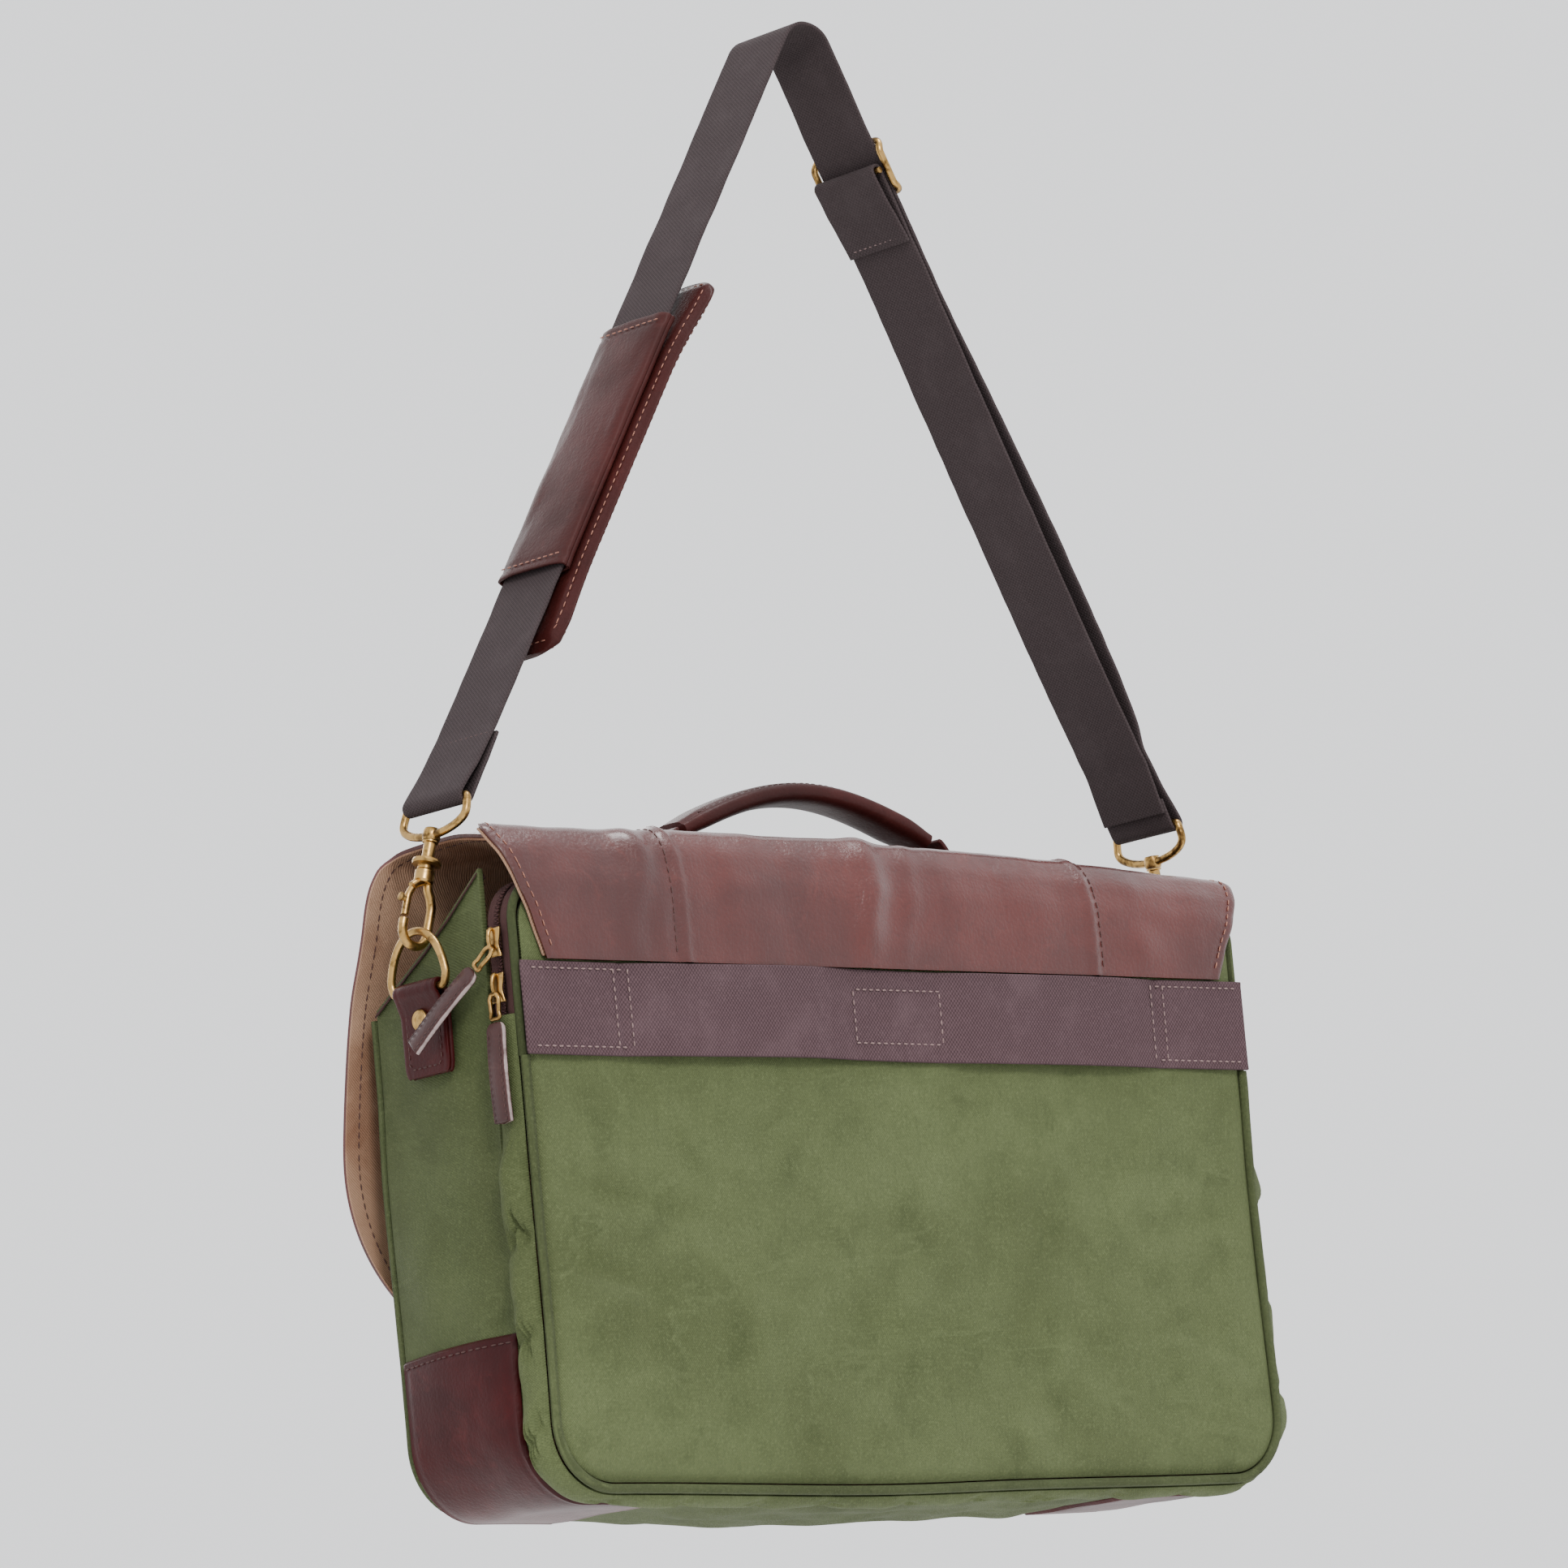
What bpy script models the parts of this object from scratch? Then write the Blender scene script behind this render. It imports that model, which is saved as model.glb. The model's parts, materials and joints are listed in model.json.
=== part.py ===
"""Canvas and leather messenger bag, hanging from its shoulder strap.

Metres, +Z up.  The back of the bag faces +Y and its flap closes over the front, towards -Y.
The origin is the underside of the strap's crest, where a peg or a shoulder carries the bag.
Bag coordinates (x from the middle, y from the middle of the depth, z from the base) are used
for the shapes, and BAG_BASE moves them to the world.
"""
import math

import bmesh
import bpy
from mathutils import Matrix, Vector

# ---- driving dimensions -------------------------------------------------------------------
HALF_WIDTH = 0.205          # canvas body, half its width
BODY_TOP = 0.257            # top of the rear compartment, where its zip runs
FRONT_TOP = 0.215           # top edge of the front panel
BACK_Y = 0.048              # outer face of the back panel
FRONT_Y = -0.050            # outer face of the front panel
DIVIDER_Y = 0.0313          # back face of the wall between main and rear compartments
CORNER_R = 0.030            # lower corners of the body
ARCH_R = 0.018              # upper corners of the rear compartment
FRONT_TOP_R = 0.012         # upper corners of the front panel
CLOTH = 0.0028              # lined canvas
LEATHER = 0.0022
LINING_T = 0.0010           # lining of the flap
GAP = 0.0003                # between touching pieces
BULGE = 0.005               # how far the soft side gusset stands out at its middle

WEBBING = 0.039             # width of the strap and of the luggage band
WEBBING_T = 0.0016
BAND_Z = 0.182              # lower edge of the luggage band
BAND_BOW = 0.0085           # how far the band stands off between its seams
BAND_SEAM_X = 0.152         # seams that close the two luggage loops
BAND_BOX_X = 0.024          # half width of the seam box in the middle of the band

FLAP_HALF = 0.2125          # flap, half its width
FLAP_HEM_HALF = 0.191       # narrowed where it is sewn in at the band
FLAP_WAIST_HALF = 0.186     # drawn in where the strap hooks pass
FLAP_TOP = 0.2805           # outer face of the flap over the bag
FLAP_BEND_Y = -0.0460       # front bend of the flap, where it turns down
FLAP_BEND_Z = 0.2765
FLAP_BOTTOM = 0.072
FLAP_SPLIT = 0.0010         # between the top and the front of the flap
FLAP_CORNER_R = 0.085
FLAP_FLARE = 0.021          # how far the flap's lower edge stands forward of the bend

HANG_Y = -0.004             # plane of the strap, hooks and rings, in bag coordinates
RING_WIRE = 0.0018          # radius
RING_HALF = 0.0187
RING_RISE = 0.025
RING_X = 0.2150
RING_BAR_Z = 0.2165
HOOK_WIRE = 0.0020
HOOK_BEND = 0.0065          # radius of the hook's bend, at the middle of the wire
HOOK_LEAN = {"left": math.radians(18), "right": math.radians(6)}
EYE_BOTTOM = 0.043          # from the ring's top, along the hook
EYE_TOP = 0.058
EYE_HALF = 0.0215
EYE_DIP = 0.008             # how far the eye's bottom bar is bent down
STRAP_VERTEX = (-0.0329, 0.6641)   # where the two straight runs would meet, x and z
CREST_R = 0.0138            # bend of the strap over its peg, at the middle of the webbing
ADJUSTER_FROM_CREST = 0.085  # middle of the adjuster, down the right run from the vertex

HANDLE_Y = -0.004           # carry handle: its axis, size and tabs
HANDLE_Z = FLAP_TOP + 0.0072
HANDLE_HALF = 0.072
HANDLE_RISE = 0.0220
HANDLE_W = 0.022
GRIP_T = 0.0060
TAB_LENGTH = 0.026
HANDLE_TAB_T = 0.0036

PAD_WIDTH = 0.056
PAD_T = 0.0075
PAD_SPAN = (0.080, 0.281)   # along the left run, from the hook's bar
SLEEVE_SPAN = (0.118, 0.252)

SIDES = {"left": 1.0, "right": -1.0}

# ---- frame --------------------------------------------------------------------------------


def bar_point(side):
    """Middle of the hook eye's top bar, in the strap's plane."""
    lean = HOOK_LEAN[side]
    x = RING_X - EYE_TOP * math.sin(lean)
    z = RING_BAR_Z + RING_RISE + EYE_TOP * math.cos(lean)
    return Vector((SIDES[side] * x, 0, z))


VERTEX = Vector((STRAP_VERTEX[0], 0, STRAP_VERTEX[1]))
RUN = {side: (VERTEX - bar_point(side)).normalized() for side in SIDES}
RUN_LENGTH = {side: (VERTEX - bar_point(side)).length for side in SIDES}
HALF_ANGLE = 0.5 * RUN["left"].angle(RUN["right"])
BISECTOR = -(RUN["left"] + RUN["right"]).normalized()
CREST_CENTRE = VERTEX + BISECTOR * (CREST_R / math.sin(HALF_ANGLE))
# outward normals of the two runs
OUT = {"left": Vector((RUN["left"].z, 0, -RUN["left"].x)),
       "right": Vector((-RUN["right"].z, 0, RUN["right"].x))}
BAG_BASE = Vector((-CREST_CENTRE.x, -HANG_Y, -(CREST_CENTRE.z + CREST_R - WEBBING_T / 2)))

for old in list(bpy.data.objects):
    bpy.data.objects.remove(old, do_unlink=True)

MATERIALS = {
    "canvas": ((0.150, 0.200, 0.065, 1), 0.9, 0.0),
    "leather": ((0.170, 0.055, 0.045, 1), 0.45, 0.0),
    "lining": ((0.240, 0.140, 0.085, 1), 0.8, 0.0),
    "webbing": ((0.110, 0.075, 0.085, 1), 0.85, 0.0),
    "brass": ((0.480, 0.340, 0.150, 1), 0.35, 1.0),
    "zip": ((0.130, 0.080, 0.090, 1), 0.8, 0.0),
    "board": ((0.060, 0.050, 0.045, 1), 0.7, 0.0),
}


def material(kind, name):
    colour, roughness, metallic = MATERIALS[kind]
    mat = bpy.data.materials.new(name)
    mat.use_nodes = True
    shader = mat.node_tree.nodes["Principled BSDF"]
    shader.inputs["Base Color"].default_value = colour
    shader.inputs["Roughness"].default_value = roughness
    shader.inputs["Metallic"].default_value = metallic
    return mat


def empty(name, point, parent=None):
    """An axis or a body's root, at a point in bag coordinates."""
    obj = bpy.data.objects.new(name, None)
    bpy.context.collection.objects.link(obj)
    obj.location = BAG_BASE + Vector(point)
    if parent:
        attach(obj, parent)
    return obj


def attach(obj, parent):
    bpy.context.view_layer.update()
    obj.parent = parent
    obj.matrix_parent_inverse = parent.matrix_world.inverted()


def node(name, kind, bm, parent, at=(0, 0, 0), smooth=False):
    """A named piece from a bmesh in bag coordinates, with its own origin at a point."""
    bmesh.ops.remove_doubles(bm, verts=bm.verts, dist=1e-7)
    bmesh.ops.recalc_face_normals(bm, faces=bm.faces)
    bmesh.ops.translate(bm, verts=bm.verts, vec=-Vector(at))
    mesh = bpy.data.meshes.new(name)
    bm.to_mesh(mesh)
    bm.free()
    mesh.materials.append(material(kind, name))
    if smooth:
        mesh.shade_smooth()
        mesh.set_sharp_from_angle(angle=math.radians(40))
    obj = bpy.data.objects.new(name, mesh)
    bpy.context.collection.objects.link(obj)
    obj.location = BAG_BASE + Vector(at)
    attach(obj, parent)
    return obj


# ---- shape helpers ------------------------------------------------------------------------


def arc(centre, radius, start, end, steps):
    """Points of an arc, from angle start to end in degrees, in a plane."""
    points = []
    for i in range(steps + 1):
        a = math.radians(start + (end - start) * i / steps)
        points.append((centre[0] + radius * math.cos(a), centre[1] + radius * math.sin(a)))
    return points


PLANES = {
    "x": lambda a, b, depth: Vector((depth, a, b)),
    "y": lambda a, b, depth: Vector((a, depth, b)),
    "z": lambda a, b, depth: Vector((a, b, depth)),
}


def prism(outline, axis, low, high):
    """An outline (a, b) drawn across an axis and extruded along it, from low to high."""
    bm = bmesh.new()
    place = PLANES[axis]
    bottom = [bm.verts.new(place(a, b, low)) for a, b in outline]
    top = [bm.verts.new(place(a, b, high)) for a, b in outline]
    bm.faces.new(bottom)
    bm.faces.new(top[::-1])
    for i in range(len(outline)):
        j = (i + 1) % len(outline)
        bm.faces.new((bottom[i], top[i], top[j], bottom[j]))
    return bm


def block(low, high):
    outline = [(low[0], low[1]), (high[0], low[1]), (high[0], high[1]), (low[0], high[1])]
    return prism(outline, "z", low[2], high[2])


def loft(rings, closed=False):
    """Rings of equal length joined in order; an open run has its two ends capped."""
    bm = bmesh.new()
    loops = [[bm.verts.new(p) for p in ring] for ring in rings]
    pairs = list(zip(loops, loops[1:]))
    if closed:
        pairs.append((loops[-1], loops[0]))
    count = len(rings[0])
    for a, b in pairs:
        for i in range(count):
            j = (i + 1) % count
            bm.faces.new((a[i], a[j], b[j], b[i]))
    if not closed:
        bm.faces.new(loops[0])
        bm.faces.new(loops[-1][::-1])
    return bm


def tube(path, radius, sides=6, closed=False, up=(0, 1, 0)):
    """A round wire along a path whose bends all lie across the direction up."""
    rings = []
    up = Vector(up).normalized()
    count = len(path)
    for i, p in enumerate(path):
        before = path[i - 1] if (i or closed) else p
        after = path[(i + 1) % count] if (i + 1 < count or closed) else p
        along = (Vector(after) - Vector(before)).normalized()
        across = up.cross(along).normalized()
        ring = []
        for k in range(sides):
            a = 2 * math.pi * (k + 0.5) / sides
            ring.append(Vector(p) + radius * (math.cos(a) * across + math.sin(a) * up))
        rings.append(ring)
    return loft(rings, closed)


def ribbon(path, thickness, low, high, axis="y"):
    """A strip with its thickness either side of a path (a, b), and its width along axis."""
    left, right = [], []
    for i, p in enumerate(path):
        before = Vector(path[max(i - 1, 0)])
        after = Vector(path[min(i + 1, len(path) - 1)])
        here = Vector(p)
        d0 = (here - before) if i else (after - here)
        d1 = (after - here) if i + 1 < len(path) else (here - before)
        d0.normalize()
        d1.normalize()
        n = Vector((-(d0.y + d1.y), d0.x + d1.x))
        n.normalize()
        cut = max(n.dot(Vector((-d0.y, d0.x))), 0.5)
        left.append(tuple(here + n * (thickness / 2 / cut)))
        right.append(tuple(here - n * (thickness / 2 / cut)))
    return prism(left + right[::-1], axis, low, high)


def sheet(stations, depth, thickness, middle=0, half_width=None, first=0, last=None):
    """A sheet across X.  Each station is (y, z, half width) on the outermost face of the flap.

    The sheet lies at a depth inside that face.  It spans the stations from first to last, and
    a rib has a half width of its own about the line x = middle.
    """
    rings = []
    for i, (y, z, half) in enumerate(stations):
        y0, z0, _ = stations[max(i - 1, 0)]
        y1, z1, _ = stations[min(i + 1, len(stations) - 1)]
        along = Vector((0, y1 - y0, z1 - z0)).normalized()
        inward = Vector((0, -along.z, along.y))
        outer = Vector((middle, y, z)) + inward * depth
        inner = outer + inward * thickness
        across = Vector((half_width or half, 0, 0))
        rings.append([outer + across, outer - across, inner - across, inner + across])
    return loft(rings[first:last])


def body_outline(half, bottom, top, low_r, top_r):
    """Upright rectangle in x and z with round corners."""
    points = arc((half - low_r, bottom + low_r), low_r, -90, 0, 5)
    points += arc((half - top_r, top - top_r), top_r, 0, 90, 4)
    points += [(-x, z) for x, z in reversed(points)]
    return points


# ---- bodies and joint axes ----------------------------------------------------------------

ring_top = RING_BAR_Z + RING_RISE
strap_root = empty("strap_root", (CREST_CENTRE.x, HANG_Y, CREST_CENTRE.z))
bag_axis = empty("bag_swing_axis", (0, HANG_Y, ring_top), strap_root)
# the flap turns about its outer face, midway between its top and its front
flap_axis = empty("flap_lift_axis", (0, FLAP_BEND_Y + FLAP_SPLIT / 2, FLAP_TOP + GAP), bag_axis)
handle_axis = empty("handle_fold_axis", (0, HANDLE_Y, HANDLE_Z), bag_axis)


# ---- canvas body --------------------------------------------------------------------------

PIPING_R = 0.0022
PIPING_OUT = 0.0006         # the piping stands out past the canvas
PANEL_HALF = HALF_WIDTH + PIPING_OUT - 2 * PIPING_R - GAP
PANEL_BOTTOM = 2 * PIPING_R + 0.0007
PANEL_R = CORNER_R - 2 * PIPING_R - GAP
PANEL_TOP = BODY_TOP - 0.0022           # panels end under the zip
STRIP_FRONT = DIVIDER_Y + GAP           # rear compartment's side strip, front edge
STRIP_BACK = BACK_Y - 2 * PIPING_R + 0.0004
ZIP_START = 0.1995                      # lower end of the zip on each side


def panel(name, back_y, half, bottom, top, low_r, top_r):
    outline = body_outline(half, bottom, top, low_r, top_r)
    node(name, "canvas", prism(outline, "y", back_y - CLOTH, back_y), bag_axis)


panel("back_panel", BACK_Y, PANEL_HALF, PANEL_BOTTOM, PANEL_TOP, PANEL_R, ARCH_R)
panel("divider_panel", DIVIDER_Y, HALF_WIDTH - CLOTH - GAP, CLOTH + GAP, PANEL_TOP, CORNER_R - CLOTH,
      ARCH_R)
panel("front_panel", FRONT_Y + CLOTH, PANEL_HALF, PANEL_BOTTOM, FRONT_TOP, PANEL_R, FRONT_TOP_R)


def u_path(half, bottom, top, radius, steps=6):
    """Down one side, round the bottom and up the other, in x and z."""
    right = [(half, top)] + arc((half - radius, bottom + radius), radius, 0, -90, steps)
    return right + [(-x, z) for x, z in reversed(right)]


# side strip of the rear compartment, below the zip
strip = u_path(HALF_WIDTH - CLOTH / 2, CLOTH / 2, ZIP_START - GAP, CORNER_R - CLOTH / 2)
node("rear_gusset", "canvas", ribbon(strip, CLOTH, STRIP_FRONT, STRIP_BACK), bag_axis)

# the zip: two tapes and a row of teeth, from one side over the top to the other
TAPE_T = 0.0015
TEETH_W = 0.0034
TEETH_T = 0.0024
TEETH_IN = 0.0004                       # middle of the teeth, inside the outer face


def arch_path(half, start, top, radius):
    right = [(half, start)] + arc((half - radius, top - radius), radius, 0, 90, 5)
    return right + [(-x, z) for x, z in reversed(right)]


zip_y = (STRIP_FRONT + STRIP_BACK) / 2
teeth_front = zip_y - TEETH_W / 2
teeth_rear = zip_y + TEETH_W / 2
arch = arch_path(HALF_WIDTH - TAPE_T / 2, ZIP_START, BODY_TOP - TAPE_T / 2, ARCH_R)
node("zip_tape_front", "zip", ribbon(arch, TAPE_T, STRIP_FRONT, teeth_front - GAP), bag_axis)
node("zip_tape_rear", "zip", ribbon(arch, TAPE_T, teeth_rear + GAP, STRIP_BACK), bag_axis)
teeth = arch_path(HALF_WIDTH - TEETH_IN, ZIP_START, BODY_TOP - TEETH_IN, ARCH_R)
node("zip_teeth", "brass", ribbon(teeth, TEETH_T, teeth_front, teeth_rear), bag_axis)


def piping(name, y, top, kind):
    path = u_path(HALF_WIDTH + PIPING_OUT - PIPING_R, PIPING_R + 0.0004, top, CORNER_R - PIPING_R)
    points = [Vector((x, y, z)) for x, z in path]
    node(name, kind, tube(points, PIPING_R, 8), bag_axis, smooth=True)


piping("back_piping", BACK_Y - PIPING_R + 0.0010, BAND_Z - GAP, "canvas")
piping("front_piping", FRONT_Y + 0.0012, FRONT_TOP - 0.004, "canvas")

# main gusset: the two sides carry the lower corners, with the bottom between them
MAIN_FRONT = FRONT_Y + 0.0012 + PIPING_R + GAP
MAIN_BACK = DIVIDER_Y - CLOTH - GAP
CORNER_END_X = 0.134        # where the leather corners end under the bottom
PATCH_T = 0.0018
PATCH_TOP = 0.069


def gusset_height(y):
    """The gusset's top edge slopes from the divider down to the front panel."""
    t = (y - MAIN_FRONT) / (MAIN_BACK - MAIN_FRONT)
    return FRONT_TOP + (BODY_TOP - 0.004 - FRONT_TOP) * t ** 0.8


def gusset_sheet(side, offset, thickness, top, columns=6):
    """A sheet that follows the outside of the gusset, offset out from it."""
    s = SIDES[side]
    centre = (HALF_WIDTH - CORNER_R, CORNER_R)
    bm = bmesh.new()
    layers = []
    for out in (offset + thickness, offset):
        rows = []
        for c in range(columns + 1):
            y = MAIN_FRONT + (MAIN_BACK - MAIN_FRONT) * c / columns
            swell = 1 - (2 * c / columns - 1) ** 2
            height = top(y)
            row = [(CORNER_END_X, -out)]
            row += arc(centre, CORNER_R + out, -90, 0, 5)
            for k in (0.25, 0.5, 0.75, 1.0):
                row.append((HALF_WIDTH + out, CORNER_R + (height - CORNER_R) * k))
            points = []
            for x, z in row:
                rise = min(max((z - 0.012) / 0.040, 0), 1) * min(max((0.236 - z) / 0.040, 0), 1)
                points.append(bm.verts.new((s * (x + BULGE * swell * rise), y, z)))
            rows.append(points)
        layers.append(rows)
    outer, inner = layers
    last = len(outer[0]) - 1
    for c in range(columns):
        for i in range(last):
            for rows in (outer, inner):
                bm.faces.new((rows[c][i], rows[c + 1][i], rows[c + 1][i + 1], rows[c][i + 1]))
        for i in (0, last):
            bm.faces.new((outer[c][i], outer[c + 1][i], inner[c + 1][i], inner[c][i]))
    for c in (0, columns):
        for i in range(last):
            bm.faces.new((outer[c][i], outer[c][i + 1], inner[c][i + 1], inner[c][i]))
    return bm


for side in SIDES:
    node("gusset_" + side, "canvas", gusset_sheet(side, -CLOTH, CLOTH, gusset_height), bag_axis)
    patch = gusset_sheet(side, GAP, PATCH_T - GAP, lambda y: PATCH_TOP)
    node("corner_patch_" + side, "leather", patch, bag_axis)

bottom_half = CORNER_END_X - GAP
bottom = block((-bottom_half, MAIN_FRONT, -PATCH_T), (bottom_half, MAIN_BACK, CLOTH))
node("bottom_panel", "canvas", bottom, bag_axis)
board_half = HALF_WIDTH - CORNER_R - 0.002
board_low = (-board_half, MAIN_FRONT + 0.006, CLOTH + GAP)
board_high = (board_half, MAIN_BACK - 0.004, CLOTH + 0.0024)
node("base_board", "board", block(board_low, board_high), bag_axis)

# front pocket: an open-topped box on the front panel, under the flap
POCKET_HALF = 0.150
POCKET_Z = (0.030, 0.175)
POCKET_DEPTH = 0.0105
POCKET_WALL = 0.0020
pocket_back = FRONT_Y - GAP
pocket_front = pocket_back - POCKET_DEPTH
inner_half = POCKET_HALF - POCKET_WALL
pocket_inner = pocket_front + POCKET_WALL
floor_top = POCKET_Z[0] + POCKET_WALL
pocket_outline = [(-POCKET_HALF, pocket_back), (-POCKET_HALF, pocket_front), (POCKET_HALF, pocket_front),
                  (POCKET_HALF, pocket_back), (inner_half, pocket_back), (inner_half, pocket_inner),
                  (-inner_half, pocket_inner), (-inner_half, pocket_back)]
pocket = prism(pocket_outline, "z", floor_top + GAP, POCKET_Z[1])
node("front_pocket", "canvas", pocket, bag_axis)
pocket_floor = block((-POCKET_HALF, pocket_front, POCKET_Z[0]), (POCKET_HALF, pocket_back, floor_top))
node("pocket_floor", "canvas", pocket_floor, bag_axis)

# ---- luggage band across the back ---------------------------------------------------------

band_face = BACK_Y + 2 * GAP + 0.0006 + WEBBING_T / 2
band_path = [(-HALF_WIDTH + 0.0005, band_face)]
for start, end in ((-BAND_SEAM_X, -BAND_BOX_X), (BAND_BOX_X, BAND_SEAM_X)):
    for i in range(9):
        t = i / 8
        lift = BAND_BOW * min(1.0, 4 * t * (1 - t) * 1.6)
        band_path.append((start + (end - start) * t, band_face + lift))
band_path.append((HALF_WIDTH - 0.0005, band_face))
node("luggage_band", "webbing", ribbon(band_path, WEBBING_T, BAND_Z, BAND_Z + WEBBING, "z"), bag_axis)

# ---- flap ---------------------------------------------------------------------------------

flap_hem_y = BACK_Y + LINING_T + LEATHER + 3 * GAP
flap_hem_z = BAND_Z + WEBBING + 2 * GAP

# stations over the top: y, z and half width, from the hem at the band to the front bend
FLAP_STATIONS = [
    (flap_hem_y, flap_hem_z, FLAP_HEM_HALF),
    (flap_hem_y, 0.240, 0.1975),
    (flap_hem_y - 0.0004, 0.256, 0.2040),
    (flap_hem_y - 0.0038, 0.269, 0.2090),
    (flap_hem_y - 0.0100, FLAP_TOP - 0.0020, FLAP_HALF),
    (0.0345, FLAP_TOP, 0.2105),
    (0.0290, FLAP_TOP, FLAP_WAIST_HALF),
    (0.0050, FLAP_TOP, FLAP_WAIST_HALF - 0.001),
    (-0.0370, FLAP_TOP, FLAP_WAIST_HALF),
    (-0.0410, FLAP_TOP, 0.2080),
    (FLAP_BEND_Y + FLAP_SPLIT, FLAP_TOP, FLAP_HALF - 0.001),
]


node("flap_top", "leather", sheet(FLAP_STATIONS, 0, LEATHER), bag_axis)
node("flap_top_lining", "lining", sheet(FLAP_STATIONS, LEATHER + GAP, LINING_T), bag_axis)

SEAM_X = 0.1165
SEAM_HALF = 0.0016
SEAM_T = 0.0009


for side, s in SIDES.items():
    rib = sheet(FLAP_STATIONS, -SEAM_T - GAP, SEAM_T, s * SEAM_X, SEAM_HALF)
    node("flap_seam_" + side, "leather", rib, bag_axis)


def flap_plane(drop):
    """y of the flap front's outer face, at a drop below the bend."""
    t = drop / (FLAP_BEND_Z - FLAP_BOTTOM)
    return FLAP_BEND_Y - 0.0045 - FLAP_FLARE * math.sin(min(t, 1.0) * math.pi * 0.55)


def front_half(z):
    """Half width of the flap front: straight sides, and a large round lower corner."""
    centre = FLAP_BOTTOM + FLAP_CORNER_R
    if z >= centre:
        return FLAP_HALF
    return FLAP_HALF - FLAP_CORNER_R + math.sqrt(max(FLAP_CORNER_R ** 2 - (centre - z) ** 2, 0))


FRONT_STATIONS = [(FLAP_BEND_Y, FLAP_TOP, FLAP_HALF - 0.001),
                  (FLAP_BEND_Y - 0.0030, FLAP_TOP - 0.0012, FLAP_HALF)]
for i in range(12):
    drop = 0.0045 + (FLAP_BEND_Z - FLAP_BOTTOM - 0.0045) * (1 - math.cos(math.pi * i / 11)) / 2
    z = FLAP_BEND_Z - drop
    FRONT_STATIONS.append((flap_plane(drop), z, front_half(z)))

node("flap_front", "leather", sheet(FRONT_STATIONS, 0, LEATHER), flap_axis)
front_lining = sheet(FRONT_STATIONS, LEATHER + GAP, LINING_T, first=1, last=-1)
node("flap_front_lining", "lining", front_lining, flap_axis)
for side, s in SIDES.items():
    rib = sheet(FRONT_STATIONS, -SEAM_T - GAP, SEAM_T, s * SEAM_X, SEAM_HALF, first=1, last=-1)
    node("flap_front_seam_" + side, "leather", rib, flap_axis)


def disc(centre, radius, low, high, axis, sides=12):
    outline = arc(centre, radius, 0, 360 * (sides - 1) / sides, sides - 1)
    return prism(outline, axis, low, high)


# two magnetic snaps hold the flap down: one half under the flap, one on the pocket
MAGNET_Z = 0.112
MAGNET_R = 0.0085
MAGNET_T = 0.0018
magnet_y = flap_plane(FLAP_BEND_Z - MAGNET_Z) + LEATHER + LINING_T + 4 * GAP
for side, s in SIDES.items():
    at = (s * 0.095, MAGNET_Z)
    snap = disc(at, MAGNET_R, magnet_y, magnet_y + MAGNET_T, "y")
    node("flap_magnet_" + side, "brass", snap, flap_axis)
    stud = disc(at, MAGNET_R, pocket_front - GAP - MAGNET_T, pocket_front - GAP, "y")
    node("pocket_magnet_" + side, "brass", stud, bag_axis)

# ---- carry handle -------------------------------------------------------------------------

arch_points = []
for i in range(17):
    t = i / 16
    rise = HANDLE_RISE * math.sin(math.pi * t)
    arch_points.append((HANDLE_HALF * (2 * t - 1), HANDLE_Z + rise))
grip = ribbon(arch_points, GRIP_T, HANDLE_Y - HANDLE_W / 2, HANDLE_Y + HANDLE_W / 2)
node("carry_handle", "leather", grip, handle_axis, (0, HANDLE_Y, HANDLE_Z))
HANDLE_TAB_X = HANDLE_HALF + 0.0025
for side, s in SIDES.items():
    near = s * HANDLE_TAB_X
    far = s * (HANDLE_TAB_X + TAB_LENGTH)
    low = (min(near, far), HANDLE_Y - HANDLE_W / 2, FLAP_TOP + GAP)
    high = (max(near, far), HANDLE_Y + HANDLE_W / 2, FLAP_TOP + GAP + HANDLE_TAB_T)
    node("handle_tab_" + side, "leather", block(low, high), bag_axis)

# ---- ring tabs and rings ------------------------------------------------------------------

TAB_W = 0.0290
TAB_T = 0.0018
TAB_BOTTOM = 0.181
RIVET_Z = 0.204
for side, s in SIDES.items():
    loop_r = RING_WIRE + GAP + TAB_T / 2 + 0.0003
    inner_x = RING_X - loop_r - 0.0002
    outer_x = inner_x + TAB_T + GAP
    path = [(inner_x, TAB_BOTTOM), (inner_x, RING_BAR_Z - 0.003)]
    path += arc((RING_X, RING_BAR_Z), loop_r, 185, -50, 9)
    path += [(outer_x + 0.0004, RING_BAR_Z - 0.0095), (outer_x, TAB_BOTTOM)]
    path = [(s * x, z) for x, z in path]
    strip = ribbon(path, TAB_T, HANG_Y - TAB_W / 2, HANG_Y + TAB_W / 2)
    node("ring_tab_" + side, "leather", strip, bag_axis)
    rivet_low = outer_x + TAB_T / 2 + 5 * GAP
    low, high = sorted((s * rivet_low, s * (rivet_low + 0.0012)))
    node("tab_rivet_" + side, "brass", disc((HANG_Y, RIVET_Z), 0.0047, low, high, "x"), bag_axis)

    axis = empty("ring_axis_" + side, (s * RING_X, HANG_Y, RING_BAR_Z), bag_axis)
    points = [Vector((s * RING_X, HANG_Y + y, RING_BAR_Z)) for y in (-0.0090, 0.0, 0.0090)]
    for i in range(13):
        a = math.pi * i / 12
        y = RING_HALF * math.cos(a)
        points.append(Vector((s * RING_X, HANG_Y + y, RING_BAR_Z + RING_RISE * math.sin(a))))
    node("d_ring_" + side, "brass", tube(points, RING_WIRE, 8, True, (1, 0, 0)), axis,
         (s * RING_X, HANG_Y, RING_BAR_Z), smooth=True)

# ---- swivel hooks -------------------------------------------------------------------------

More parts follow.
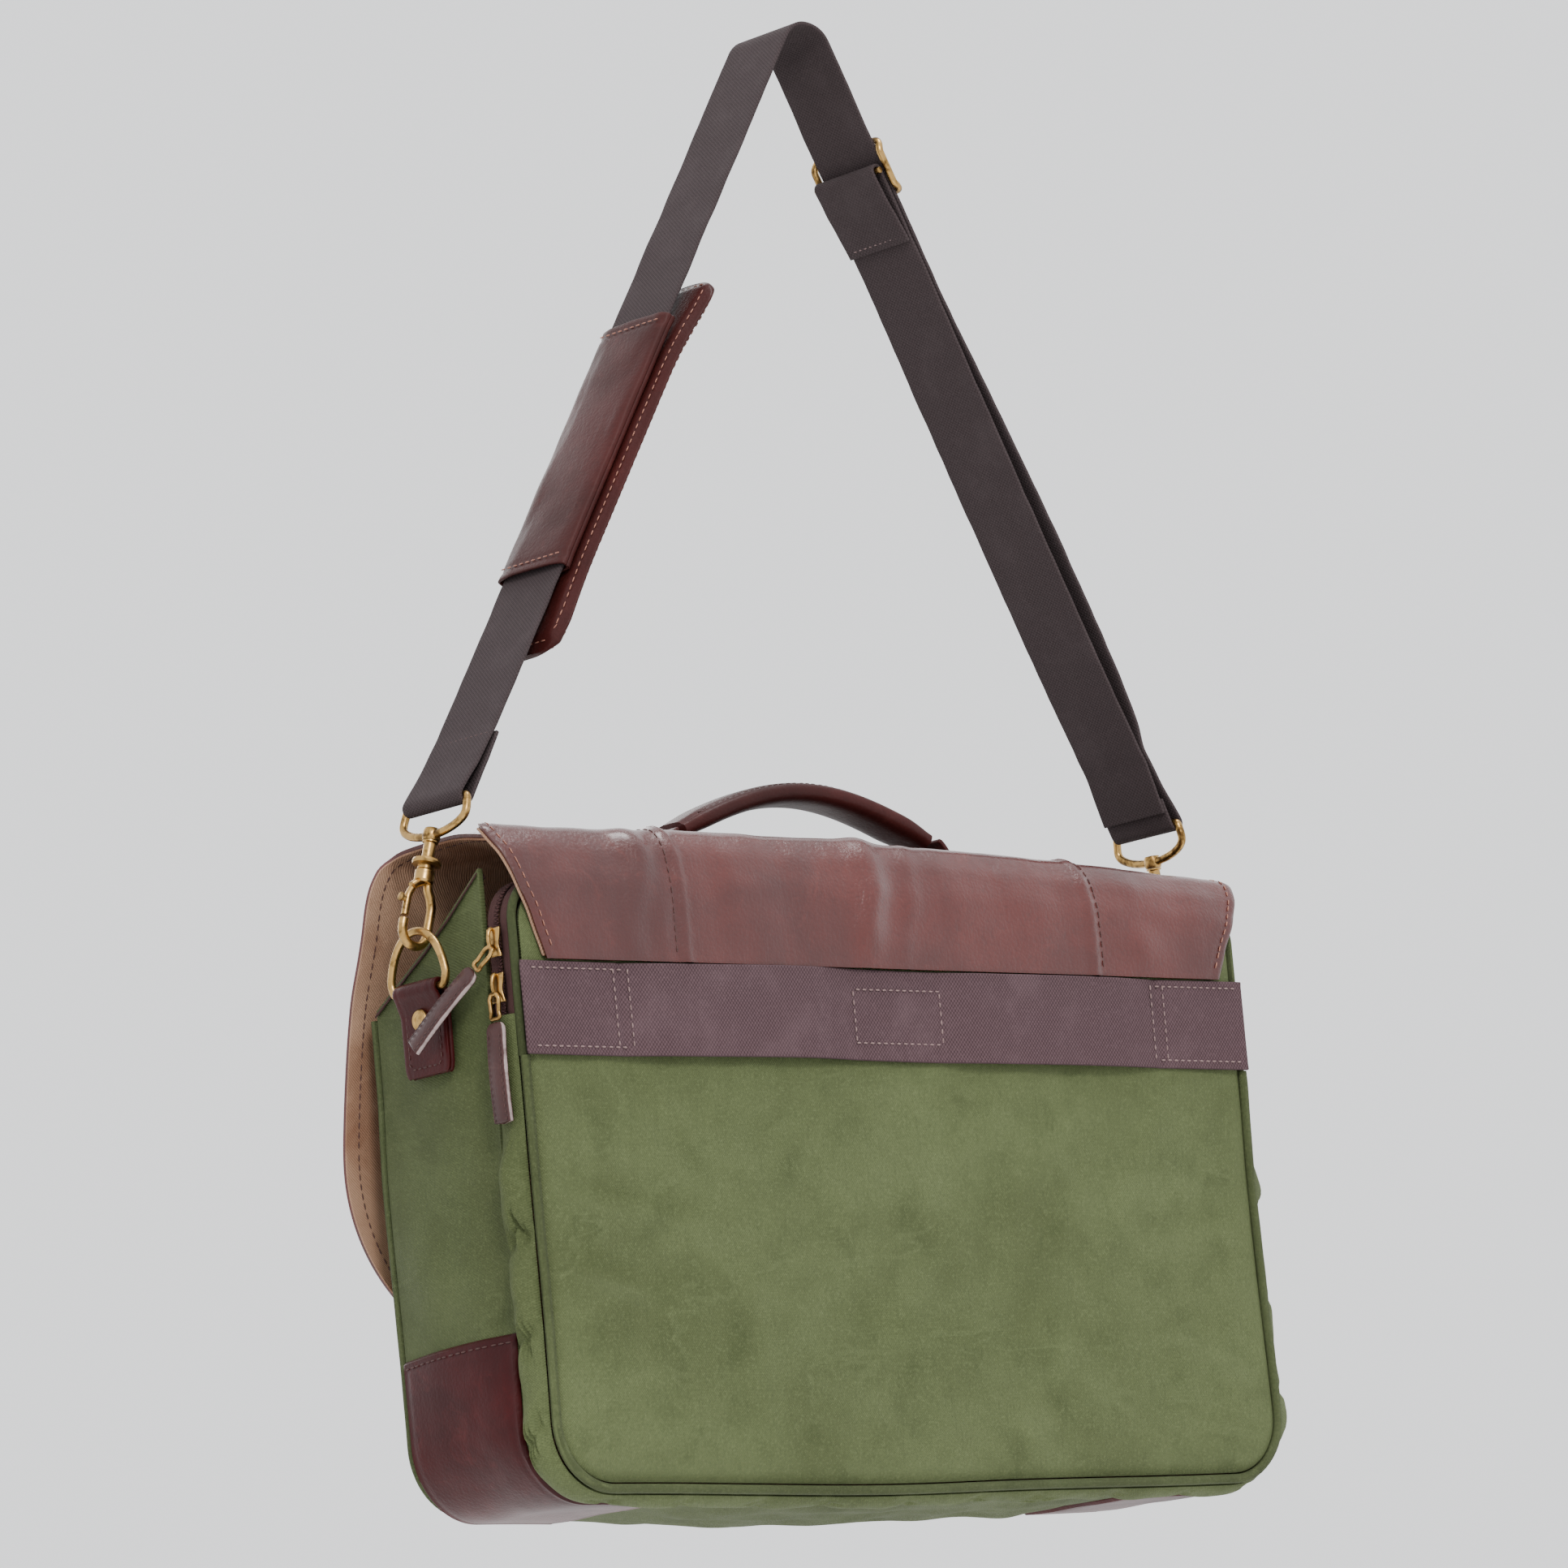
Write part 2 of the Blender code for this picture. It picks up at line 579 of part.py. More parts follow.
BARREL = (0.0215, 0.0330)   # turned barrel of the hook, along its axis
BARREL_R = 0.0042
NECK_R = BARREL_R * 0.65
NECK_TOP = EYE_BOTTOM - RING_WIRE - GAP - 0.001
SPINE_X = 0.0020            # the wire leaves the barrel off its axis
GATE_X = 0.0052
GATE_WIRE = 0.0015
GATE_TOP = 0.0185
GATE_TIP = 0.0052


def hook_place(bm, side):
    """Moves a shape drawn upright at the ring's top into its leaning place."""
    s = SIDES[side]
    turn = Matrix.Rotation(-s * HOOK_LEAN[side], 4, "Y")
    move = Matrix.Translation((s * RING_X, HANG_Y, ring_top))
    bmesh.ops.transform(bm, matrix=move @ turn, verts=bm.verts)
    return bm


def turned(profile, sides=10):
    """A solid of revolution about Z from (radius, height) pairs, closed at both ends."""
    rings = []
    for radius, z in profile:
        turns = [2 * math.pi * k / sides for k in range(sides)]
        rings.append([Vector((radius * math.cos(a), radius * math.sin(a), z)) for a in turns])
    return loft(rings)


for side, s in SIDES.items():
    pivot = Vector((s * RING_X, HANG_Y, ring_top))
    # eye: a flat-topped loop for the webbing, closed under the swivel
    loop = [(EYE_HALF * k, EYE_TOP) for k in (-1, -0.33, 0.33, 1)]
    for a in (0, 25, 50, 75, 105, 130, 155, 180):
        turn = math.radians(a)
        loop.append((EYE_HALF * math.cos(turn), EYE_BOTTOM + EYE_DIP * (1 - math.sin(turn))))
    eye_points = [Vector((0, y, w)) for y, w in loop]
    eye = tube(eye_points, RING_WIRE, 8, True, (1, 0, 0))
    eye = hook_place(eye, side)
    eye_at = pivot + Matrix.Rotation(-s * HOOK_LEAN[side], 3, "Y") @ Vector((0, 0, EYE_BOTTOM))
    node("hook_eye_" + side, "brass", eye, strap_root, eye_at, smooth=True)

    swivel = empty("hook_swivel_axis_" + side, pivot, strap_root)
    barrel = turned([(BARREL_R * 0.8, BARREL[0]), (BARREL_R, BARREL[0] + 0.0015),
                     (BARREL_R, BARREL[1] - 0.002), (NECK_R, BARREL[1]), (NECK_R, NECK_TOP)])
    node("hook_barrel_" + side, "brass", hook_place(barrel, side), swivel, pivot, smooth=True)
    bend = [(SPINE_X, BARREL[0] - GAP), (SPINE_X, 0.0195), (0.0050, 0.0162), (HOOK_BEND, 0.0120)]
    bend += arc((0, 0), HOOK_BEND, 0, -180, 8)
    bend += [(-HOOK_BEND, GATE_TIP - 0.0016)]
    bend = [(-s * x, z) for x, z in bend]
    wire = tube([Vector((x, 0, z)) for x, z in bend], HOOK_WIRE, 8)
    node("hook_" + side, "brass", hook_place(wire, side), swivel, pivot, smooth=True)

    lean = Matrix.Rotation(-s * HOOK_LEAN[side], 3, "Y")
    gate_at = pivot + lean @ Vector((s * GATE_X, 0, GATE_TOP))
    gate_axis = empty("hook_gate_axis_" + side, gate_at, swivel)
    gate_path = [(GATE_X, GATE_TOP), (HOOK_BEND, 0.0140), (HOOK_BEND, GATE_TIP + 0.0004)]
    gate = tube([Vector((s * x, 0, z)) for x, z in gate_path], GATE_WIRE, 8)
    node("hook_gate_" + side, "brass", hook_place(gate, side), gate_axis, gate_at, smooth=True)

# ---- shoulder strap -----------------------------------------------------------------------

WRAP_R = RING_WIRE + GAP + WEBBING_T / 2 + 0.0002
LAYER = WEBBING_T + 0.0006          # between the middles of two layers that lie together
LEFT_TAIL = 0.034                   # folded end sewn at the left hook
SETTLE = 0.036                      # where two layers have come together above a bar
ADJUSTER = RUN_LENGTH["right"] - ADJUSTER_FROM_CREST
END_FOLD = 0.034


def on_run(side, along, out):
    """A point on a strap run, along it from the hook's bar and out from its line."""
    p = bar_point(side) + RUN[side] * along + OUT[side] * out
    return (p.x, p.z)


def wrap(side, steps=7):
    """Round the hook's bar, from the inner layer to the outer one."""
    points = []
    for i in range(steps + 1):
        a = math.pi * i / steps
        p = bar_point(side) - OUT[side] * WRAP_R * math.cos(a) - RUN[side] * WRAP_R * math.sin(a)
        points.append((p.x, p.z))
    return points


def crest(steps=8):
    """The bend over the peg, from the left run to the right one."""
    a0 = math.atan2(OUT["left"].z, OUT["left"].x)
    a1 = math.atan2(OUT["right"].z, OUT["right"].x)
    centre = (CREST_CENTRE.x, CREST_CENTRE.z)
    return arc(centre, CREST_R, math.degrees(a0), math.degrees(a1), steps)


inner_top = ADJUSTER - END_FOLD - 0.0010
strap_path = [on_run("left", LEFT_TAIL, -LAYER), on_run("left", 0.012, -LAYER - 0.0006)]
strap_path += wrap("left")
strap_path += [on_run("left", 0.016, 0.0010), on_run("left", SETTLE, 0), on_run("left", PAD_SPAN[0], 0)]
strap_path += crest()
strap_path += [on_run("right", SETTLE, 0), on_run("right", 0.016, 0.0010)]
strap_path += wrap("right")[::-1]
strap_path += [on_run("right", 0.012, -LAYER - 0.0006), on_run("right", SETTLE, -LAYER),
               on_run("right", inner_top, -LAYER)]
strap_low = HANG_Y - WEBBING / 2
strap_high = HANG_Y + WEBBING / 2
node("shoulder_strap", "webbing", ribbon(strap_path, WEBBING_T, strap_low, strap_high), strap_root,
     (0, HANG_Y, 0))

# adjuster: a three-bar slide on the inner side, with the sewn end round its middle bar
bar_out = -LAYER - WRAP_R - 0.0004
adjuster_at = on_run("right", ADJUSTER, bar_out)
adjuster_axis = empty("adjuster_axis", (adjuster_at[0], HANG_Y, adjuster_at[1]), strap_root)


def adjuster_point(along, out, y):
    x, z = on_run("right", ADJUSTER + along, bar_out + out)
    return Vector((x, HANG_Y + y, z))


FRAME_HALF_Y = 0.0235
FRAME_HALF_Z = 0.0120
FRAME_CORNER = 0.004
FRAME_WIRE = 0.0014
frame_points = []
for ys, zs, start in ((1, 1, 0), (-1, 1, 90), (-1, -1, 180), (1, -1, 270)):
    centre = (ys * (FRAME_HALF_Y - FRAME_CORNER), zs * (FRAME_HALF_Z - FRAME_CORNER))
    for y, z in arc(centre, FRAME_CORNER, start, start + 90, 3):
        frame_points.append(adjuster_point(z, 0, y))
frame = tube(frame_points, FRAME_WIRE, 8, True, OUT["right"])
frame_at = (adjuster_at[0], HANG_Y, adjuster_at[1])
node("adjuster_frame", "brass", frame, adjuster_axis, frame_at, smooth=True)
bar_half = FRAME_HALF_Y - FRAME_WIRE - GAP
bar_ends = [adjuster_point(0, 0, -bar_half), adjuster_point(0, 0, bar_half)]
bar = tube(bar_ends, FRAME_WIRE, 8, up=OUT["right"])
node("adjuster_bar", "brass", bar, adjuster_axis, frame_at, smooth=True)
fold_r = FRAME_WIRE + GAP + WEBBING_T / 2
fold_path = [on_run("right", ADJUSTER - END_FOLD, bar_out + fold_r)]
for i in range(8):
    a = math.pi * i / 7
    fold_path.append(on_run("right", ADJUSTER + fold_r * math.sin(a), bar_out + fold_r * math.cos(a)))
fold_path.append(on_run("right", ADJUSTER - END_FOLD, bar_out - fold_r))
fold = ribbon(fold_path, WEBBING_T, strap_low, strap_high)
node("strap_end_fold", "webbing", fold, adjuster_axis, frame_at)

# shoulder pad: a padded base under the strap and a sleeve that holds it on
pad_at = bar_point("left") + RUN["left"] * sum(PAD_SPAN) / 2 + Vector((0, HANG_Y, 0))
pad_axis = empty("pad_axis", pad_at, strap_root)


def pad_slab(span, width, out_low, out_high, round_r):
    """A slab along the left run with round ends, between two distances from the strap's line."""
    half = width / 2
    outline = []
    for ys, zs, start in ((1, 1, 0), (-1, 1, 90), (-1, -1, 180), (1, -1, 270)):
        end = span[1] if zs > 0 else span[0]
        centre = (ys * (half - round_r), end - zs * round_r)
        outline += arc(centre, round_r, start, start + 90, 4)
    rings = []
    for out in (out_low, out_high):
        ring = []
        for y, along in outline:
            x, z = on_run("left", along, out)
            ring.append(Vector((x, HANG_Y + y, z)))
        rings.append(ring)
    return loft(rings)


SLEEVE_T = 0.0014
SLEEVE_HALF = 0.0228        # half width of the sleeve, outside
SLEEVE_INNER = 0.0213
inner_face = WEBBING_T / 2 + 0.0010
sleeve_low = -inner_face - SLEEVE_T
node("shoulder_pad", "leather",
     pad_slab(PAD_SPAN, PAD_WIDTH, sleeve_low - GAP - PAD_T, sleeve_low - GAP, 0.016), pad_axis, pad_at)
sleeve_rings = []
for along in SLEEVE_SPAN:
    ring = []
    for half_y, half_out in ((SLEEVE_HALF, -sleeve_low), (SLEEVE_INNER, inner_face)):
        for ys, outs in ((-1, -1), (1, -1), (1, 1), (-1, 1)):
            x, z = on_run("left", along, outs * half_out)
            ring.append(Vector((x, HANG_Y + ys * half_y, z)))
    sleeve_rings.append(ring)


def square_tube(rings):
    """A square tube from two stations, each of four outer and four inner corners."""
    bm = bmesh.new()
    a, b = [[bm.verts.new(p) for p in ring] for ring in rings]
    for i in range(4):
        j = (i + 1) % 4
        bm.faces.new((a[i], a[j], b[j], b[i]))
        bm.faces.new((a[i + 4], b[i + 4], b[j + 4], a[j + 4]))
        bm.faces.new((a[i], a[i + 4], a[j + 4], a[j]))
        bm.faces.new((b[i], b[j], b[j + 4], b[i + 4]))
    return bm


node("pad_sleeve", "leather", square_tube(sleeve_rings), pad_axis, pad_at)

# ---- zip sliders --------------------------------------------------------------------------

SLIDER_LENGTH = 0.0125
SLIDER_W = 0.0085
SLIDER_T = 0.0024
slider_face = HALF_WIDTH + 0.0008 + GAP
TAB_DROP = 0.0095           # from the slider's bridge to the leather tab
BAIL_WIRE = 0.0009
TAB_SHOULDER = 0.0030       # the tab narrows over this length at its top
PULL_LENGTH = 0.042
PULL_W = 0.0105
PULL_T = 0.0030
SLIDERS = {
    # name: height, turn of the pull towards the front, and how far it stands off
    "upper": (0.2300, math.radians(45), math.radians(17)),
    "lower": (0.2110, 0.0, 0.0),
}
for name, (z, sway, lift) in SLIDERS.items():
    slide_at = Vector((slider_face, zip_y, z))
    slide_axis = empty("zip_slide_axis_" + name, slide_at, bag_axis)
    half_l = SLIDER_LENGTH / 2
    plate_low = (slider_face, zip_y - SLIDER_W / 2, z - half_l)
    plate_high = (slider_face + SLIDER_T, zip_y + SLIDER_W / 2, z + half_l)
    node("zip_slider_" + name, "brass", block(plate_low, plate_high), slide_axis, slide_at)
    pull_at = Vector((slider_face + SLIDER_T + GAP + 0.0012, zip_y, z - 0.0030))
    lift_axis = empty("pull_lift_axis_" + name, pull_at, slide_axis)
    turn = Matrix.Rotation(-sway, 4, "X")
    tilt = Matrix.Rotation(-lift, 4, "Y")
    move = Matrix.Translation(pull_at) @ turn @ tilt
    link = [Vector((0, -0.0030, 0)), Vector((0, 0.0030, 0)),
            Vector((0, 0.0024, -TAB_DROP)), Vector((0, -0.0024, -TAB_DROP))]
    bail = tube(link, BAIL_WIRE, 6, True, (1, 0, 0))
    bmesh.ops.transform(bail, matrix=move, verts=bail.verts)
    node("zip_bail_" + name, "brass", bail, lift_axis, pull_at, smooth=True)
    tab_top = -TAB_DROP - BAIL_WIRE - GAP
    half_top = PULL_W / 2 - TAB_SHOULDER / 2
    outline = [(-half_top, tab_top), (half_top, tab_top), (PULL_W / 2, tab_top - TAB_SHOULDER)]
    outline += [(PULL_W / 2, tab_top - PULL_LENGTH), (-PULL_W / 2, tab_top - PULL_LENGTH)]
    outline += [(-PULL_W / 2, tab_top - TAB_SHOULDER)]
    tab = prism(outline, "x", -PULL_T / 2, PULL_T / 2)
    bmesh.ops.transform(tab, matrix=move, verts=tab.verts)
    sway_at = move @ Vector((0, 0, -TAB_DROP))
    sway_axis = empty("pull_sway_axis_" + name, sway_at, lift_axis)
    node("zip_tab_" + name, "leather", tab, sway_axis, sway_at)
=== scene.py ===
import json
import math

import bpy
import numpy as np
from mathutils import Matrix, Vector, noise


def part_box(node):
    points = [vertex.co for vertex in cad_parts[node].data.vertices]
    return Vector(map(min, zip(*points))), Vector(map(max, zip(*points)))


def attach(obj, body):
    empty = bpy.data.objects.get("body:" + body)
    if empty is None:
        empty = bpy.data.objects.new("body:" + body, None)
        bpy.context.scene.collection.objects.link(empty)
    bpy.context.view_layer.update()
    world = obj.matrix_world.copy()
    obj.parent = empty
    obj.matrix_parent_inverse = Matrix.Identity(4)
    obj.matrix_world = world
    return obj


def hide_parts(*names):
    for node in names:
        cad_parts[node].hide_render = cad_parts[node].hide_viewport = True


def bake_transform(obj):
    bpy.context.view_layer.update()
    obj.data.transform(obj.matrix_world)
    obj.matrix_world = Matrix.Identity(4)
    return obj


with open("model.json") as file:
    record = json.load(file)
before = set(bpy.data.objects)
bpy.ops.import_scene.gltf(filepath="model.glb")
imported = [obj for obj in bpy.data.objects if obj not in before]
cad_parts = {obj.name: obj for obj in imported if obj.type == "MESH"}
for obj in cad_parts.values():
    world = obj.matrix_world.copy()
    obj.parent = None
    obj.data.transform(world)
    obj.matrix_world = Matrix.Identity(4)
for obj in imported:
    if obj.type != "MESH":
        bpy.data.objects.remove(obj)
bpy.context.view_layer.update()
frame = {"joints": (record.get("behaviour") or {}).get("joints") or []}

joints = {joint["name"]: joint for joint in frame["joints"]}
sides = {"left": 1, "right": -1}


def jointAt(name):
    return Vector(joints[name]["pos_m"])


def jointAlong(name):
    return Vector(joints[name]["axis"]).normalized()


# the bag's own coordinates: x from its middle, y from the middle of its depth, z from its base
tapeLow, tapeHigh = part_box("zip_tape_rear")
halfWidth = (tapeHigh.x - tapeLow.x) / 2
bodyDepth = {"back": 0.048, "front": -0.050, "divider": 0.0313}
bagOrigin = Vector(((tapeLow.x + tapeHigh.x) / 2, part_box("back_panel")[1].y - bodyDepth["back"],
                    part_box("bottom_panel")[0].z + 0.0018))
bodyTop = tapeHigh.z - bagOrigin.z
hangY = jointAt("bag_swing").y - bagOrigin.y


def inBag(x, y, z):
    return bagOrigin + Vector((x, y, z))


# ---- tools ----


def ripple(x, y, z, scale, seed=0.0):
    return noise.noise(Vector((x * scale + seed, y * scale, z * scale - seed)))


def smooth(low, high, value):
    t = min(max((value - low) / (high - low), 0), 1)
    return t * t * (3 - 2 * t)


def rounded(value, power):
    # a sine or cosine squared off: the power keeps its sign
    return math.copysign(abs(value) ** power, value)


def clipped(value):
    return max(-1, min(1, value))


def runLength(path):
    return sum((after - before).length for before, after in zip(path, path[1:]))


def aside(y):
    return Vector((0, y, 0))


def unpicked():
    bpy.ops.object.select_all(action="DESELECT")


def linked(name, data):
    piece = bpy.data.objects.new(name, data)
    bpy.context.scene.collection.objects.link(piece)
    return piece


def applied(piece, kind, **settings):
    modifier = piece.modifiers.new(kind.title(), kind)
    for key, value in settings.items():
        setattr(modifier, key, value)
    bpy.context.view_layer.objects.active = piece
    bpy.ops.object.modifier_apply(modifier=modifier.name)


def picked(piece):
    unpicked()
    piece.select_set(True)
    bpy.context.view_layer.objects.active = piece


def shaded(piece, degrees=40):
    picked(piece)
    bpy.ops.object.shade_smooth_by_angle(angle=math.radians(degrees))


def faceOut(piece):
    picked(piece)
    bpy.ops.object.mode_set(mode="EDIT")
    bpy.ops.mesh.select_all(action="SELECT")
    bpy.ops.mesh.remove_doubles(threshold=0.00001)
    bpy.ops.mesh.normals_make_consistent(inside=False)
    bpy.ops.object.mode_set(mode="OBJECT")


def gridPiece(name, cells, size, spot):
    # a grid bent to its place by spot(u, v), with its UVs in metres
    unpicked()
    bpy.ops.mesh.primitive_grid_add(x_subdivisions=cells[0], y_subdivisions=cells[1], size=1)
    piece = bpy.context.object
    piece.name = piece.data.name = name
    for loop in piece.data.uv_layers.active.data:
        loop.uv = (loop.uv[0] * size[0], loop.uv[1] * size[1])
    for vert in piece.data.vertices:
        vert.co = spot(vert.co.x + 0.5, vert.co.y + 0.5)
    return piece


def sheetPiece(name, cells, size, spot, outward, thickness, offset=-1.0, rim=0.0004):
    # a bent grid that faces outward, with its thickness behind it
    piece = gridPiece(name, cells, size, spot)
    piece.data.update()
    total = sum(face.normal.dot(outward(face.center) if callable(outward) else outward)
                for face in piece.data.polygons)
    if total < 0:
        piece.data.flip_normals()
    applied(piece, "SOLIDIFY", thickness=thickness, offset=offset)
    if rim:
        applied(piece, "BEVEL", width=rim, segments=2, limit_method="ANGLE", angle_limit=math.radians(60))
    shaded(piece, 50)
    return piece


def closedPiece(name, cells, size, spot):
    # a grid rolled up into a closed form: u goes round, and v runs from one end to the other
    piece = gridPiece(name, cells, size, spot)
    faceOut(piece)
    shaded(piece, 55)
    return piece


def evenPath(points, step, passes=0, closed=False):
    # the same line with its points a step apart, and its corners eased
    line = [Vector(p) for p in points]
    if closed:
        line.append(line[0])
    dense = [line[0]]
    for start, end in zip(line, line[1:]):
        count = max(1, round((end - start).length / step))
        dense += [start.lerp(end, i / count) for i in range(1, count + 1)]
    if closed:
        dense.pop()
    path = np.array(dense)
    for _ in range(passes):
        before, after = np.roll(path, 1, axis=0), np.roll(path, -1, axis=0)
        eased = (before + 2 * path + after) / 4
        if not closed:
            eased[0], eased[-1] = path[0], path[-1]
        path = eased
    return [Vector(p) for p in path]


def wirePiece(name, points, radius, closed=False, sides=4):
    curve = bpy.data.curves.new(name, "CURVE")
    curve.dimensions = "3D"
    curve.bevel_depth = radius
    curve.bevel_resolution = sides
    curve.use_fill_caps = True
    spline = curve.splines.new("POLY")
    spline.points.add(len(points) - 1)
    for point, at in zip(spline.points, points):
        point.co = (*at, 1)
    spline.use_cyclic_u = closed
    picked(linked(name, curve))
    bpy.ops.object.convert(target="MESH")
    piece = bpy.context.object
    faceOut(piece)
    shaded(piece, 50)
    return piece


def turnedPiece(name, profile, place, steps=32):
    # (radius, height) pairs turned round Z, then put in place
    mesh = bpy.data.meshes.new(name)
    edges = [(i, i + 1) for i in range(len(profile) - 1)]
    mesh.from_pydata([(radius, 0, height) for radius, height in profile], edges, [])
    piece = linked(name, mesh)
    applied(piece, "SCREW", steps=steps, render_steps=steps, use_merge_vertices=True, merge_threshold=0.00001)
    faceOut(piece)
    piece.data.transform(place)
    shaded(piece, 35)
    return piece


def joined(name, pieces):
    picked(pieces[0])
    for piece in pieces:
        piece.select_set(True)
    bpy.ops.object.join()
    piece = bpy.context.object
    piece.name = piece.data.name = name
    return piece


def repeated(name, pattern, places):
    # one mesh copied to many places, as one piece
    verts = np.array([v.co for v in pattern.data.vertices])
    faces = [tuple(f.vertices) for f in pattern.data.polygons]
    allVerts, allFaces = [], []
    for i, place in enumerate(places):
        turn = np.array(place.to_3x3())
        allVerts.append(verts @ turn.T + np.array(place.translation))
        allFaces += [tuple(v + i * len(verts) for v in face) for face in faces]
    mesh = bpy.data.meshes.new(name)
    mesh.from_pydata(np.concatenate(allVerts).tolist(), [], allFaces)
    mesh.shade_smooth()
    return linked(name, mesh)


def threadPattern(length, width):
    unpicked()
    bpy.ops.mesh.primitive_uv_sphere_add(segments=6, ring_count=4, radius=0.5, rotation=(0, math.pi / 2, 0))
    pattern = bpy.context.object
    bpy.ops.object.transform_apply(location=False, rotation=True, scale=False)
    bpy.ops.transform.resize(value=(length, width, width * 0.8))
    bpy.ops.object.transform_apply(location=False, rotation=False, scale=True)
    return pattern


def frameAt(at, along, out):
    # a matrix whose x runs along and whose z points out
    x = along.normalized()
    z = (out - x * out.dot(x)).normalized()
    y = z.cross(x)
    return Matrix(((x.x, y.x, z.x, at.x), (x.y, y.y, z.y, at.y), (x.z, y.z, z.z, at.z), (0, 0, 0, 1)))


sewing = {"pitch": 0.0042, "length": 0.0031, "width": 0.00075}


def stitchRow(name, rows, pitch=None, length=None, width=None):
    # rows are (points, out) pairs: out is a direction, or a function of a point
    pitch = pitch or sewing["pitch"]
    pattern = threadPattern(length or sewing["length"], width or sewing["width"])
    places = []
    for points, out in rows:
        line = evenPath(points, pitch / 4)
        gone, mark = 0.0, pitch / 2
        for before, after in zip(line, line[1:]):
            gone += (after - before).length
            if gone >= mark:
                mark += pitch
                face = out(after) if callable(out) else out
                places.append(frameAt(after, after - before, face))
    piece = repeated(name, pattern, places)
    bpy.data.objects.remove(pattern)
    return piece


def finished(piece, finish, slot, *nodes):
    piece.data.materials.clear()
    piece.data.materials.append(finish)
    if nodes:
        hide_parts(*nodes)


def settle(piece, body, finish, slot, *nodes):
    finished(piece, finish, slot, *nodes)
    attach(piece, body)


print("tools ready")

# ---- camera, floor and light ----

cameraView = {"azimuth": 138.585, "elevation": -9.17, "roll": -5.158, "lens": 204.0, "distance": 3.766}
cameraView["target"] = Vector((0.0813, 0.0520, -0.3480))


def addCamera():
    az = math.radians(cameraView["azimuth"])
    el = math.radians(cameraView["elevation"])
    back = Vector((math.sin(az) * math.cos(el), -math.cos(az) * math.cos(el), math.sin(el)))
    right = Vector((0, 0, 1)).cross(back).normalized()
    up = back.cross(right)
    turn = Matrix.Rotation(math.radians(cameraView["roll"]), 3, back)
    right, up = turn @ right, turn @ up
    data = bpy.data.cameras.new("camera")
    data.lens = cameraView["lens"]
    data.sensor_width = 36
    data.clip_end = 100
    camera = linked("camera", data)
    axes = Matrix((right, up, back)).transposed().to_4x4()
    camera.matrix_world = Matrix.Translation(cameraView["target"] + back * cameraView["distance"]) @ axes
    bpy.context.scene.camera = camera


stageSetting = {"floorZ": -1.6, "floorSize": 60.0, "world": (0.97, 0.98, 1.0), "worldStrength": 1.5,
                "aim": Vector((0.03, 0.0, -0.42))}
lampSettings = [
    # name, from, size, power, colour: all look at the bag
    ("keyLamp", (1.6, 2.8, 1.5), 0.8, 95, (1.0, 0.98, 0.96)),
    ("topLamp", (-0.6, 0.4, 2.4), 1.0, 55, (1.0, 1.0, 1.0)),
    ("frontLamp", (-1.0, -3.0, 0.8), 2.0, 50, (1.0, 1.0, 1.0)),
]


def addStage():
    unpicked()
    bpy.ops.mesh.primitive_plane_add(size=stageSetting["floorSize"], location=(0, 0, stageSetting["floorZ"]))
    floor = bpy.context.object
    floor.name = "floor"
    paint = Finish("floorPaint")
    paint.connect(Base_Color=(0.86, 0.86, 0.85, 1), Roughness=0.9)
    floor.data.materials.append(paint.material)
    world = bpy.data.worlds.new("studio")
    bpy.context.scene.world = world
    world.use_nodes = True
    background = world.node_tree.nodes["Background"]
    background.inputs["Color"].default_value = (*stageSetting["world"], 1)
    background.inputs["Strength"].default_value = stageSetting["worldStrength"]
    for name, at, size, power, colour in lampSettings:
        data = bpy.data.lights.new(name, "AREA")
        data.size = size
        data.energy = power
        data.color = colour
        lamp = linked(name, data)
        lamp.location = at
        lamp.rotation_mode = "QUATERNION"
        lamp.rotation_quaternion = (stageSetting["aim"] - Vector(at)).to_track_quat("-Z", "Y")


# ---- finishes ----


def srgb(red, green, blue):
    # a colour as it looks, 0 to 255, as the shader's linear colour
    linear = []
    for value in (red, green, blue):
        value /= 255
        linear.append(value / 12.92 if value <= 0.04045 else ((value + 0.055) / 1.055) ** 2.4)
    return (*linear, 1.0)


class Value:
    # a shader number that takes part in Python's own sums
    def __init__(self, finish, socket):
        self.finish = finish
        self.socket = socket

    def joinWith(self, operation, first, second):
        node = self.finish.add("ShaderNodeMath", {"operation": operation}, {0: first, 1: second})
        return Value(self.finish, node.outputs[0])

    def __add__(self, other):
        return self.joinWith("ADD", self, other)

    __radd__ = __add__

    def __sub__(self, other):
        return self.joinWith("SUBTRACT", self, other)

    def __rsub__(self, other):
        return self.joinWith("SUBTRACT", other, self)

    def __mul__(self, other):
        return self.joinWith("MULTIPLY", self, other)

    __rmul__ = __mul__


